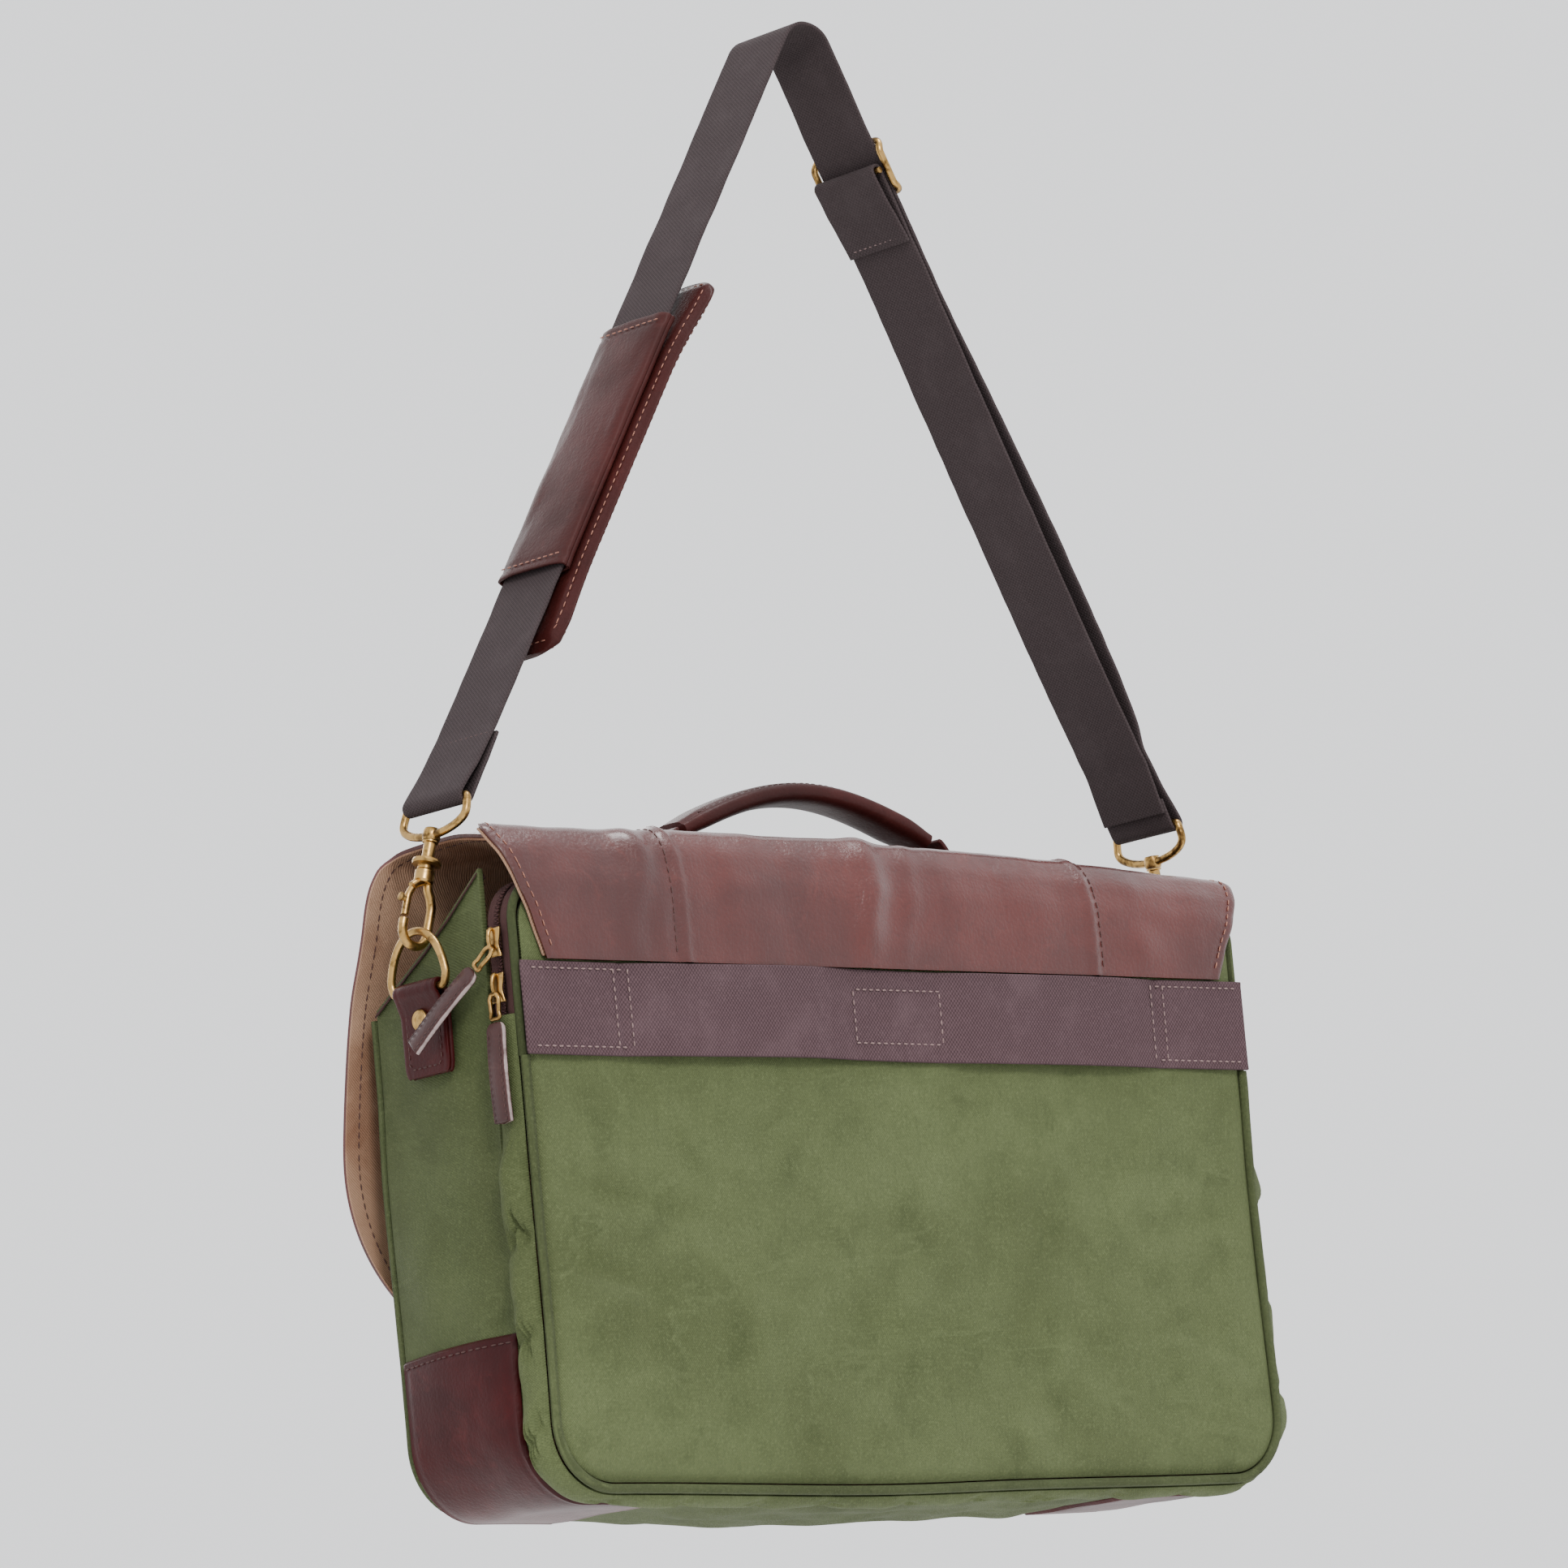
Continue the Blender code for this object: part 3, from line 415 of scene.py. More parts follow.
class Finish:
    def __init__(self, name):
        self.material = bpy.data.materials.new(name)
        self.material.use_nodes = True
        self.tree = self.material.node_tree
        self.shader = self.tree.nodes["Principled BSDF"]

    def feed(self, socket, value):
        if isinstance(value, Value):
            self.tree.links.new(value.socket, socket)
        elif isinstance(value, bpy.types.NodeSocket):
            self.tree.links.new(value, socket)
        else:
            socket.default_value = value

    def add(self, kind, settings, inputs):
        node = self.tree.nodes.new(kind)
        for key, value in settings.items():
            setattr(node, key, value)
        for key, value in inputs.items():
            self.feed(node.inputs[key], value)
        return node

    def connect(self, **values):
        for key, value in values.items():
            self.feed(self.shader.inputs[key.replace("_", " ")], value)

    def coords(self, kind="Object"):
        return self.add("ShaderNodeTexCoord", {}, {}).outputs[kind]

    def stretched(self, coords, scale):
        node = self.add("ShaderNodeMapping", {}, {"Vector": coords, "Scale": scale})
        return node.outputs[0]

    def noise(self, coords, scale, detail=2.0, roughness=0.5, distortion=0.0):
        node = self.add("ShaderNodeTexNoise", {}, {"Vector": coords, "Scale": scale, "Detail": detail,
                                                   "Roughness": roughness, "Distortion": distortion})
        return Value(self, node.outputs[0])

    def cells(self, coords, scale):
        node = self.add("ShaderNodeTexVoronoi", {}, {"Vector": coords, "Scale": scale})
        return Value(self, node.outputs["Distance"])

    def between(self, value, low, high):
        # 0 below low and 1 above high, or the other way round where low is the larger
        node = self.add("ShaderNodeMapRange", {"interpolation_type": "SMOOTHSTEP"},
                        {"Value": value, "From Min": low, "From Max": high})
        return Value(self, node.outputs[0])

    def axes(self, coords):
        node = self.add("ShaderNodeSeparateXYZ", {}, {0: coords})
        return [Value(self, output) for output in node.outputs]

    def wave(self, value, pitch):
        node = self.add("ShaderNodeMath", {"operation": "SINE"}, {0: value * (2 * math.pi / pitch)})
        return Value(self, node.outputs[0])

    def mix(self, factor, first, second, blend="MIX"):
        node = self.add("ShaderNodeMix", {"data_type": "RGBA", "blend_type": blend},
                        {0: factor, 6: first, 7: second})
        return node.outputs[2]

    def bump(self, height, distance, strength):
        node = self.add("ShaderNodeBump", {}, {"Strength": strength, "Distance": distance, "Height": height})
        return node.outputs[0]


canvasColours = {"deep": srgb(50, 58, 32), "middle": srgb(70, 78, 46), "light": srgb(82, 91, 57),
                 "crease": srgb(110, 120, 82)}


def canvasFinish(name, paintedShade=1.0):
    # waxed cotton canvas: a plain weave, cloudy where the wax has moved, and paler along old creases; a shade
    # factor below 1 darkens the whole colour as painted shade
    cloth = Finish(name)
    at = cloth.coords()
    threads = cloth.axes(cloth.coords("UV"))
    cloud = cloth.noise(at, 9, 4, 0.62, 0.4)
    patch = cloth.noise(at, 38, 3, 0.6)
    slub = cloth.noise(cloth.stretched(at, (60, 60, 700)), 1, 2, 0.6)
    slubUp = cloth.noise(cloth.stretched(at, (700, 700, 60)), 1, 2, 0.6)
    ground = cloth.mix(cloth.between(cloud, 0.34, 0.66), canvasColours["middle"], canvasColours["light"])
    ground = cloth.mix(cloth.between(patch, 0.45, 0.85) * 0.55, ground, canvasColours["deep"])
    ground = cloth.mix(cloth.between(slub, 0.52, 0.80) * 0.30, ground, canvasColours["light"])
    ground = cloth.mix(cloth.between(slubUp, 0.52, 0.80) * 0.25, ground, canvasColours["deep"])
    drawn = cloth.noise(cloth.stretched(at, (5, 5, 13)), 1, 4, 0.6, 0.8)
    near = cloth.between((drawn - 0.5) * (drawn - 0.5), 0.00022, 0.0)
    ground = cloth.mix(near * cloth.between(patch, 0.46, 0.60) * 0.12, ground, canvasColours["crease"])
    fleck = cloth.noise(at, 900, 2, 0.7)
    ground = cloth.mix(cloth.between(fleck, 0.50, 0.75) * 0.30, ground, canvasColours["crease"])
    ground = cloth.mix(cloth.between(fleck, 0.50, 0.28) * 0.30, ground, canvasColours["deep"])
    # painted shade: the whole colour multiplied down, for copies worn by pieces that should look less lit
    if paintedShade != 1.0:
        ground = cloth.mix(1.0, ground, (paintedShade, paintedShade, paintedShade * 0.97, 1), "MULTIPLY")
    weave = cloth.wave(threads[0], 0.0011) * cloth.wave(threads[1], 0.0011)
    ground = cloth.mix(cloth.between(weave, 0.1, -1.0) * 0.30, ground, canvasColours["deep"])
    height = weave * 0.5 + slub + slubUp + cloth.noise(at, 260, 2) * 0.8
    cloth.connect(Base_Color=ground, Roughness=0.62 + patch * 0.3,
                  Normal=cloth.bump(height, 0.00022, 0.85))
    cloth.connect(Specular_IOR_Level=0.22)
    return cloth.material


def leatherFinish(name, dark, middle, light, gloss, coat, grain, edgeWearAndHighlight=None):
    # full grain: pebbles with fine creases between them, pulled paler where it bends
    hide = Finish(name)
    at = hide.coords()
    cloud = hide.noise(at, 14, 4, 0.6, 0.3)
    streak = hide.noise(at, 60, 5, 0.7, 1.0)
    pebble = hide.cells(at, 620)
    fine = hide.noise(at, 900, 3, 0.6)
    wrinkle = hide.noise(hide.stretched(at, (240, 240, 60)), 1, 5, 0.7, 1.2)
    tone = hide.mix(hide.between(cloud, 0.30, 0.70), middle, dark)
    tone = hide.mix(hide.between(streak, 0.52, 0.80) * 0.45, tone, light)
    tone = hide.mix(hide.between(pebble, 0.55, 0.95) * 0.35, tone, dark)
    if edgeWearAndHighlight:
        # rubbed pale along both long edges: partly wear, partly a painted highlight where the rounded edges
        # catch the light
        around = hide.axes(hide.coords("UV"))[0]
        rim = hide.wave(around + 0.003, 0.012)
        tone = hide.mix(hide.between(rim + streak * 0.9, 1.18, 1.48) * 0.80, tone, edgeWearAndHighlight)
    height = (1 - pebble) * 0.7 + fine * 0.5 + wrinkle * 1.3
    rough = gloss + hide.between(cloud, 0.35, 0.75) * 0.12 + fine * 0.08
    hide.connect(Base_Color=tone, Roughness=rough, Normal=hide.bump(height, 0.00022 * grain, 0.55))
    hide.connect(Coat_Weight=coat, Coat_Roughness=0.20, Specular_IOR_Level=0.14 if coat < 0.07 else 0.30)
    return hide.material


def liningFinish():
    # brushed cotton drill, rubbed and blotched
    cloth = Finish("liningCloth")
    at = cloth.coords()
    threads = cloth.axes(cloth.coords("UV"))
    blotch = cloth.noise(at, 26, 4, 0.62, 0.5)
    tone = cloth.mix(cloth.between(blotch, 0.36, 0.68), srgb(150, 118, 96), srgb(118, 84, 64))
    tone = cloth.mix(cloth.between(cloth.noise(at, 8, 3), 0.5, 0.75) * 0.5, tone, srgb(172, 142, 118))
    twill = cloth.wave(threads[0] + threads[1], 0.0014)
    tone = cloth.mix(cloth.between(twill, 0.2, -1.0) * 0.22, tone, srgb(84, 60, 44))
    cloth.connect(Base_Color=tone, Roughness=0.7 + blotch * 0.2,
                  Normal=cloth.bump(twill * 0.6 + cloth.noise(at, 500, 2), 0.0002, 0.7))
    cloth.connect(Specular_IOR_Level=0.2)
    return cloth.material


def webbingFinish(name, dark, middle, light, along=0.0017, across=0.0021):
    # heavy cotton webbing: ribs of warp that dive under each weft
    tape = Finish(name)
    at = tape.coords()
    run, wide, _ = tape.axes(tape.coords("UV"))
    weave = tape.wave(run, along) * tape.wave(wide, across)
    ribs = tape.wave(wide, across / 2)
    dust = tape.noise(at, 46, 3, 0.6)
    fuzz = tape.noise(at, 700, 2, 0.7)
    tone = tape.mix(tape.between(weave, -0.7, 0.7), dark, middle)
    tone = tape.mix(tape.between(fuzz, 0.45, 0.8) * 0.25, tone, light)
    tone = tape.mix(tape.between(dust, 0.45, 0.75) * 0.18, tone, light)
    height = weave + ribs * 0.3 + fuzz * 0.4
    tape.connect(Base_Color=tone, Roughness=0.8 + fuzz * 0.15, Normal=tape.bump(height, 0.00016, 0.5))
    tape.connect(Specular_IOR_Level=0.15)
    return tape.material


def brassFinish():
    # antique brass: dark in the hollows, rubbed bright on what is handled
    metal = Finish("antiqueBrass")
    at = metal.coords()
    tarnish = metal.noise(at, 160, 4, 0.65, 0.4)
    fine = metal.noise(at, 900, 2)
    tone = metal.mix(metal.between(tarnish, 0.42, 0.72), srgb(182, 146, 88), srgb(74, 52, 26))
    metal.connect(Base_Color=tone, Roughness=0.18 + tarnish * 0.25 + fine * 0.06,
                  Normal=metal.bump(tarnish + fine * 0.4, 0.00008, 0.5))
    metal.connect(Metallic=1.0)
    return metal.material


def threadFinish(name, colour, dark):
    thread = Finish(name)
    at = thread.coords()
    twist = thread.noise(at, 1500, 2, 0.6)
    thread.connect(Base_Color=thread.mix(thread.between(twist, 0.35, 0.7), colour, dark),
                   Roughness=0.6 + twist * 0.2, Normal=thread.bump(twist, 0.0001, 0.5))
    return thread.material


addCamera()
addStage()
canvas = canvasFinish("waxedCanvas")
# a darker copy of the canvas, 0.78: painted shade for the gussets, the base and the zip piping, which face
# away from the light
canvasPaintedShade = canvasFinish("waxedCanvasPaintedShade", 0.78)
# a slightly darker copy of the canvas, 0.94, for the rear strip: painted shade, lighter than the sides' copy
canvasStripPaintedShade = canvasFinish("waxedCanvasStripPaintedShade", 0.94)
flapLeather = leatherFinish("flapLeather", srgb(58, 17, 14), srgb(80, 28, 23), srgb(98, 42, 35),
                            0.26, 0.50, 2.2)
darkLeather = leatherFinish("darkLeather", srgb(44, 8, 9), srgb(64, 14, 15), srgb(82, 28, 27),
                            0.32, 0.04, 0.8)
padLeather = leatherFinish("padLeather", srgb(44, 15, 13), srgb(60, 22, 20), srgb(78, 38, 34),
                           0.42, 0.05, 0.9)
# the last, pale colour goes on the long edges: wear and a painted highlight
pullLeather = leatherFinish("pullLeather", srgb(46, 20, 18), srgb(62, 30, 28), srgb(92, 60, 56),
                            0.40, 0.10, 0.8, srgb(168, 150, 148))
lining = liningFinish()
strapWebbing = webbingFinish("strapWebbing", srgb(45, 37, 38), srgb(58, 49, 50), srgb(75, 66, 67))
bandWebbing = webbingFinish("bandWebbing", srgb(56, 41, 44), srgb(82, 63, 67), srgb(104, 84, 88))
zipCloth = webbingFinish("zipCloth", srgb(52, 32, 32), srgb(70, 47, 46), srgb(88, 66, 62), 0.0008, 0.0012)
brass = brassFinish()
bandThread = threadFinish("bandThread", srgb(128, 104, 102), srgb(96, 74, 73))
leatherThread = threadFinish("leatherThread", srgb(150, 100, 82), srgb(104, 62, 52))
darkThread = threadFinish("darkThread", srgb(70, 38, 32), srgb(44, 20, 18))
canvasThread = threadFinish("canvasThread", srgb(62, 66, 36), srgb(42, 46, 22))
print("finishes ready")

# ---- canvas body ----

bodyShape = {
    "cornerRadius": 0.030, "archRadius": 0.018, "cloth": 0.0028, "zipStart": 0.1995,
    "mainFront": -0.0463, "mainBack": 0.0282, "stripFront": 0.0316, "stripBack": 0.0440,
    "frontTop": 0.215, "panelTop": 0.2548, "panelBottom": 0.0051, "panelHalf": 0.2009,
    "cornerEnd": 0.134, "patchTop": 0.069, "patchLift": 0.0018, "bulge": 0.005,
}


def slump(point):
    # how the whole soft body has settled: one field, so that seams stay together
    x, y, z = point
    loose = smooth(0.185, 0.135, z)
    shift = Vector((ripple(x, y, z, 9, 3.1), ripple(x, y, z, 8, 7.7), ripple(x, y, z, 7, 1.3)))
    shift *= 0.0022
    shift.z -= 0.0016 * (1 - (x / halfWidth) ** 2) * smooth(0.10, 0.0, z)
    return Vector(point) + shift * loose


def settled(x, y, z):
    return bagOrigin + slump((x, y, z))


def creased(x, z, lines):
    # the depth of folds that run along short lines, each (x0, z0, x1, z1, depth, width)
    total = 0.0
    for x0, z0, x1, z1, depth, width in lines:
        run = Vector((x1 - x0, z1 - z0))
        t = Vector((x - x0, z - z0)).dot(run) / run.length_squared
        if -0.2 < t < 1.2:
            off = abs((x - x0) * run.y - (z - z0) * run.x) / run.length
            fade = smooth(-0.15, 0.25, t) * smooth(1.15, 0.6, t)
            total += depth * fade * math.exp(-(off / width) ** 2)
    return total


backCreases = [
    (0.200, 0.128, 0.110, 0.112, -0.0016, 0.006), (0.200, 0.098, 0.140, 0.082, -0.0018, 0.005),
    (0.198, 0.070, 0.150, 0.084, 0.0012, 0.006), (0.196, 0.030, 0.140, 0.050, 0.0014, 0.007),
    (-0.198, 0.120, -0.120, 0.104, -0.0014, 0.007), (-0.196, 0.040, -0.130, 0.062, 0.0012, 0.008),
    (0.060, 0.075, -0.040, 0.062, -0.0008, 0.005), (0.020, 0.030, 0.090, 0.052, 0.0008, 0.006),
    (-0.150, 0.176, -0.110, 0.120, -0.0008, 0.006), (0.150, 0.176, 0.120, 0.130, -0.0008, 0.006),
]


def roundedHalf(z, half, bottom, top, lowRadius, topRadius):
    if z < bottom + lowRadius:
        rise = bottom + lowRadius - z
        return half - lowRadius + math.sqrt(max(lowRadius ** 2 - rise ** 2, 0))
    if z > top - topRadius:
        rise = z - (top - topRadius)
        return half - topRadius + math.sqrt(max(topRadius ** 2 - rise ** 2, 0))
    return half


def canvasPanel(name, faceY, facing, half, bottom, top, lowRadius, topRadius, swell, creases, finish, node):
    def spot(u, v):
        # rows crowd towards the round corners
        v = 0.5 - 0.5 * math.cos(math.pi * v) * (1 - 0.25 * math.sin(math.pi * v) ** 2)
        z = bottom + (top - bottom) * v
        wide = roundedHalf(z, half, bottom, top, lowRadius, topRadius)
        x = wide * (2 * u - 1)
        edge = min(wide - abs(x), z - bottom)
        inside = smooth(0.0, 0.028, edge)
        soft = swell * math.sin(math.pi * min(v / 0.72, 1.0)) ** 0.8 * (1 - (x / half) ** 2) ** 0.7
        soft += inside * (0.0016 * ripple(x, 0, z, 16, 5) + 0.0010 * ripple(x + z, 0, z - 0.4 * x, 42, 2))
        soft += 1.5 * inside * creased(x, z, creases)
        soft -= 0.0012 * smooth(0.004, 0.0, edge)
        return settled(x, faceY + facing * soft, z)

    piece = sheetPiece(name, (150, 100), (2 * half, top - bottom), spot, Vector((0, facing, 0)),
                       bodyShape["cloth"], rim=0.0006)
    settle(piece, "bag", finish, "canvas", node)


def makePanels():
    b = bodyShape
    edge = b["cornerRadius"] - 0.0047
    canvasPanel("backPanel", bodyDepth["back"], 1, b["panelHalf"], b["panelBottom"], b["panelTop"], edge,
                b["archRadius"], 0.0034, backCreases, canvas, "back_panel")
    canvasPanel("frontPanel", bodyDepth["front"], -1, b["panelHalf"], b["panelBottom"], b["frontTop"], edge,
                0.012, 0.0, [], canvas, "front_panel")
    canvasPanel("dividerPanel", bodyDepth["divider"], 1, halfWidth - 0.0031, 0.0031, b["panelTop"],
                b["cornerRadius"] - 0.0028, b["archRadius"], 0.0, [], lining, "divider_panel")


def uPath(half, bottom, top, radius, step=0.003):
    # down one side, round the bottom and up the other: (x, z) points
    return roundCornered(half, top, bottom + radius, radius, -1, step)


def archPath(half, start, top, radius, step=0.0025):
    # up one side, over the top and down the other
    return roundCornered(half, start, top - radius, radius, 1, step)


def roundCornered(half, start, centre, radius, way, step):
    # half a frame with round corners and its mirror: way is 1 for an arch and -1 for a U
    right = [(half, start)]
    for a in range(0, 91, 6):
        turn = math.radians(a)
        right.append((half - radius + radius * math.cos(turn), centre + way * radius * math.sin(turn)))
    path = right + [(-x, z) for x, z in reversed(right)]
    return evenPath([(x, 0, z) for x, z in path], step)


def alongPath(path, t):
    # the point and the direction at a share t of an evenly spaced path
    at = min(max(t, 0), 1) * (len(path) - 1)
    i = min(int(at), len(path) - 2)
    here = path[i].lerp(path[i + 1], at - i)
    along = (path[min(i + 2, len(path) - 1)] - path[max(i - 1, 0)]).normalized()
    return here, along


def makeStrip():
    # narrow side strip of the rear compartment: slack canvas in a row of small folds
    b = bodyShape
    path = uPath(halfWidth, 0.0, b["zipStart"], b["cornerRadius"])
    length = runLength(path)

    def spot(u, v):
        here, along = alongPath(path, v)
        out = Vector((along.z, 0, -along.x)) * -1
        s = v * length
        swell = math.sin(math.pi * u) ** 0.7
        sag = 0.0024 * math.exp(-((here.z - 0.124) / 0.014) ** 2)
        if here.x < 0:
            sag += 0.0036 * smooth(0.185, 0.150, here.z) * smooth(0.0, 0.04, here.z)
        fold = 0.0022 * ripple(s, u * 0.010, 0, 80, 4) + 0.0044 * ripple(s, u * 0.020, 0, 34, 9)
        beat = s + 0.010 * ripple(s, u * 0.6, 0, 16, 2) + 0.006 * (u - 0.5)
        pinch = 0.0046 * max(0.0, math.sin(beat * 2 * math.pi / 0.041)) ** 5
        low = smooth(0.154, 0.130, here.z)
        upright = 1 - 0.65 * smooth(0.03, 0.0, here.z)
        lift = swell * (0.0024 + 0.0040 * low * upright + sag + low * upright * (fold - pinch))
        y = b["stripFront"] - 0.0016 + (b["stripBack"] + 0.0006 - b["stripFront"] + 0.0016) * u
        y += (0.0018 * low * ripple(s, 0, 0, 40, 6) - 0.0012 * low) * (1 - u)
        return settled(here.x + out.x * lift, y, here.z + out.z * lift)

    middle = inBag(0, 0, 0.10)
    piece = sheetPiece("rearStrip", (14, 420), (0.013, length), spot, lambda at: at - middle,
                       b["cloth"], rim=0.0005)
    # the rear strip wears the slightly darker canvas copy: painted shade
    settle(piece, "bag", canvasStripPaintedShade, "canvas", "rear_gusset")


def pipingPiece(name, y, top, node, radius=0.0021):
    b = bodyShape
    path = uPath(halfWidth + 0.0006 - radius, radius + 0.0004, top, b["cornerRadius"] - radius, 0.002)
    points = [settled(p.x, y + 0.0003 * ripple(p.x, 0, p.z, 60, 3), p.z) for p in path]
    settle(wirePiece(name, points, radius, sides=3), "bag", canvas, "canvas", node)


def makePiping():
    for name, y, node in (("backPiping", bodyDepth["back"] - 0.0011, "back_piping"),
                          ("frontPiping", bodyDepth["front"] + 0.0012, "front_piping")):
        pipingPiece(name, y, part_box(node)[1].z - bagOrigin.z, node)


def makeZipPiping():
    # the back panel's seam under the zip, rolled in canvas
    b = bodyShape
    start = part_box("back_piping")[1].z - bagOrigin.z
    path = archPath(halfWidth - 0.0014, start, bodyTop - 0.0006, b["archRadius"])
    points = [inBag(p.x, bodyDepth["back"] - 0.0024, p.z) for p in path]
    # the zip piping wears the darker canvas copy: painted shade
    settle(wirePiece("zipPiping", points, 0.0019, sides=3), "bag", canvasPaintedShade, "canvas")


def gussetTop(side, y):
    # higher at the pull's side, where the flap leaves room
    b = bodyShape
    t = (y - b["mainFront"]) / (b["mainBack"] - b["mainFront"])
    rear, curve = (bodyTop + 0.0060, 1.15) if side == "left" else (bodyTop - 0.003, 0.52)
    return b["frontTop"] + (rear - b["frontTop"]) * max(t, 0) ** curve


def gussetSpot(side, y, share, lift, top, wrinkled=1.0):
    # a point on the gusset's outside: share runs from the end under the base, round the corner, to the top
    b = bodyShape
    s = sides[side]
    radius = b["cornerRadius"]
    flat = halfWidth - radius - b["cornerEnd"]
    turn = radius * math.pi / 2
    gone = share * (flat + turn + top - radius)
    if gone < flat:
        x, z, out = b["cornerEnd"] + gone, 0.0, Vector((0, 0, -1))
    elif gone < flat + turn:
        a = (gone - flat) / radius
        x, z = halfWidth - radius + radius * math.sin(a), radius - radius * math.cos(a)
        out = Vector((math.sin(a), 0, -math.cos(a)))
    else:
        x, z, out = halfWidth, radius + gone - flat - turn, Vector((1, 0, 0))
    t = (y - b["mainFront"]) / (b["mainBack"] - b["mainFront"])
    swell = 4 * t * (1 - t)
    rise = min(max((z - 0.012) / 0.040, 0), 1) * min(max((0.236 - z) / 0.040, 0), 1)
    soft = b["bulge"] * swell * rise
    fold = 0.0024 * ripple(y, z * 0.35, 0, 34, 8 + s) + 0.0018 * ripple(y, z, 0, 22, 3 * s)
    fold += 0.0009 * ripple(y, z * 1.6, 0, 70, 5 + s) * smooth(0.35, 0.85, t)
    valley = -0.0048 * math.exp(-((t - 0.93) / 0.14) ** 2) * smooth(0.045, 0.10, z)
    valley -= 0.0026 * math.exp(-((t - 1.30 + 3.6 * (0.155 - z)) / 0.22) ** 2) * smooth(0.07, 0.10, z)
    calm = smooth(0.205, 0.17, z) * max(math.sin(math.pi * min(max(t, 0), 1)), 0.0) ** 0.35
    soft += wrinkled * calm * (fold + valley)
    x += out.x * lift + soft
    z += out.z * lift
    return settled(s * x, y, z)


def makeGussets():
    b = bodyShape
    for side, s in sides.items():
        def spot(u, v, side=side):
            y = b["mainFront"] + (b["mainBack"] - b["mainFront"]) * u
            return gussetSpot(side, y, v, 0.0, gussetTop(side, y))

        middle = inBag(s * 0.12, -0.01, 0.10)
        piece = sheetPiece("gusset_" + side + "_canvas", (36, 110), (0.0745, 0.27), spot,
                           lambda at: at - middle, b["cloth"])
        # the gussets wear the darker canvas copy: painted shade
        settle(piece, "bag", canvasPaintedShade, "canvas", "gusset_" + side)
        makeGussetBindingAndShade(side, s)
        makeCornerPatch(side, s, middle)


def makeGussetBindingAndShade(side, s):
    # dark tape folded over the gusset's sloping top edge; its dark colour also stands in for the shadow under
    # the flap, as painted shade
    b = bodyShape

    def spot(u, v):
        y = b["mainFront"] + 0.0008 + (b["mainBack"] - b["mainFront"] - 0.0016) * v
        top = gussetTop(side, y)
        a = math.pi * u
        edge = gussetSpot(side, y, 1.0, 0.0, top)
        drop = 0.0034 * abs(math.cos(a)) ** 0.6
        out = 0.0030 * math.cos(a) - 0.0014
        return edge + Vector((s * out, 0, 0.0012 * math.sin(a) - drop + 0.0004 * ripple(y, 0, 0, 70, 1)))

    piece = sheetPiece("gussetBindingAndShade_" + side, (12, 50), (0.02, 0.08), spot, lambda at: Vector((s, 0, 0.2)),
                       0.0005, rim=0)
    # the dark zip cloth here is partly a real binding, partly painted shade
    settle(piece, "bag", zipCloth, "zip")


def makeCornerPatch(side, s, middle):
    b = bodyShape
    length = halfWidth - b["cornerRadius"] - b["cornerEnd"] + b["cornerRadius"] * math.pi / 2
    length += b["patchTop"] - b["cornerRadius"]
    deep = b["mainBack"] - b["mainFront"]

    def topAt(y):
        # the edge dips a little towards the front
        return b["patchTop"] - 0.0030 * (b["mainBack"] - y) / deep

    def lift(u, v):
        edge = min(u * deep, (1 - u) * deep, (1 - v) * length, v * length)
        groove = 0.0005 * math.exp(-((edge - 0.0036) / 0.0010) ** 2)
        return b["patchLift"] * smooth(-0.0004, 0.0014, edge) - groove + 0.0002

    def spot(u, v):
        y = b["mainFront"] + deep * u
        dent = 0.0008 * ripple(u, v, 0, 3.0, 2) * math.sin(math.pi * u)
        return gussetSpot(side, y, v, lift(u, v) + dent, topAt(y), 0.45)

    piece = sheetPiece("cornerPatch_" + side, (50, 90), (deep, length), spot, lambda at: at - middle,
                       0.0013, rim=0.0004)
    settle(piece, "bag", darkLeather, "leather", "corner_patch_" + side)

    def line(u, v):
        y = b["mainFront"] + deep * u
        return gussetSpot(side, y, v, b["patchLift"] + 0.00015, topAt(y), 0.45)

    inset = 0.0036 / length
    rows = [([line(u, 1 - inset) for u in np.linspace(0.03, 0.97, 16)], Vector((s, 0, 0)))]
    settle(stitchRow("patchStitches_" + side, rows), "bag", darkThread, "leather")


def makeBase():
    b = bodyShape
    half = b["cornerEnd"] - 0.0003
    deep = b["mainBack"] - b["mainFront"]

    def spot(u, v):
        x = half * (2 * u - 1)
        y = b["mainFront"] + deep * v
        inside = math.sin(math.pi * v) ** 0.6
        fold = 0.0030 * ripple(x * 0.6, y * 1.6, 0, 46, 5) + 0.0018 * ripple(x, y, 0, 22, 8)
        end = smooth(half, half - 0.04, abs(x))
        return settled(x, y, -0.0004 - inside * end * (0.0040 + fold))

    piece = sheetPiece("basePanel", (140, 34), (2 * half, deep), spot, Vector((0, 0, -1)), 0.0026)
    # the base wears the darker canvas copy: painted shade
    settle(piece, "bag", canvasPaintedShade, "canvas", "bottom_panel")
    low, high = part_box("base_board")
    unpicked()
    bpy.ops.mesh.primitive_cube_add(size=1, location=(low + high) / 2, scale=high - low)
    board = bpy.context.object
    bpy.ops.object.transform_apply(location=True, rotation=False, scale=True)
    board.name = board.data.name = "baseBoard"
    applied(board, "BEVEL", width=0.0008, segments=2)
    settle(board, "bag", darkLeather, "board", "base_board")


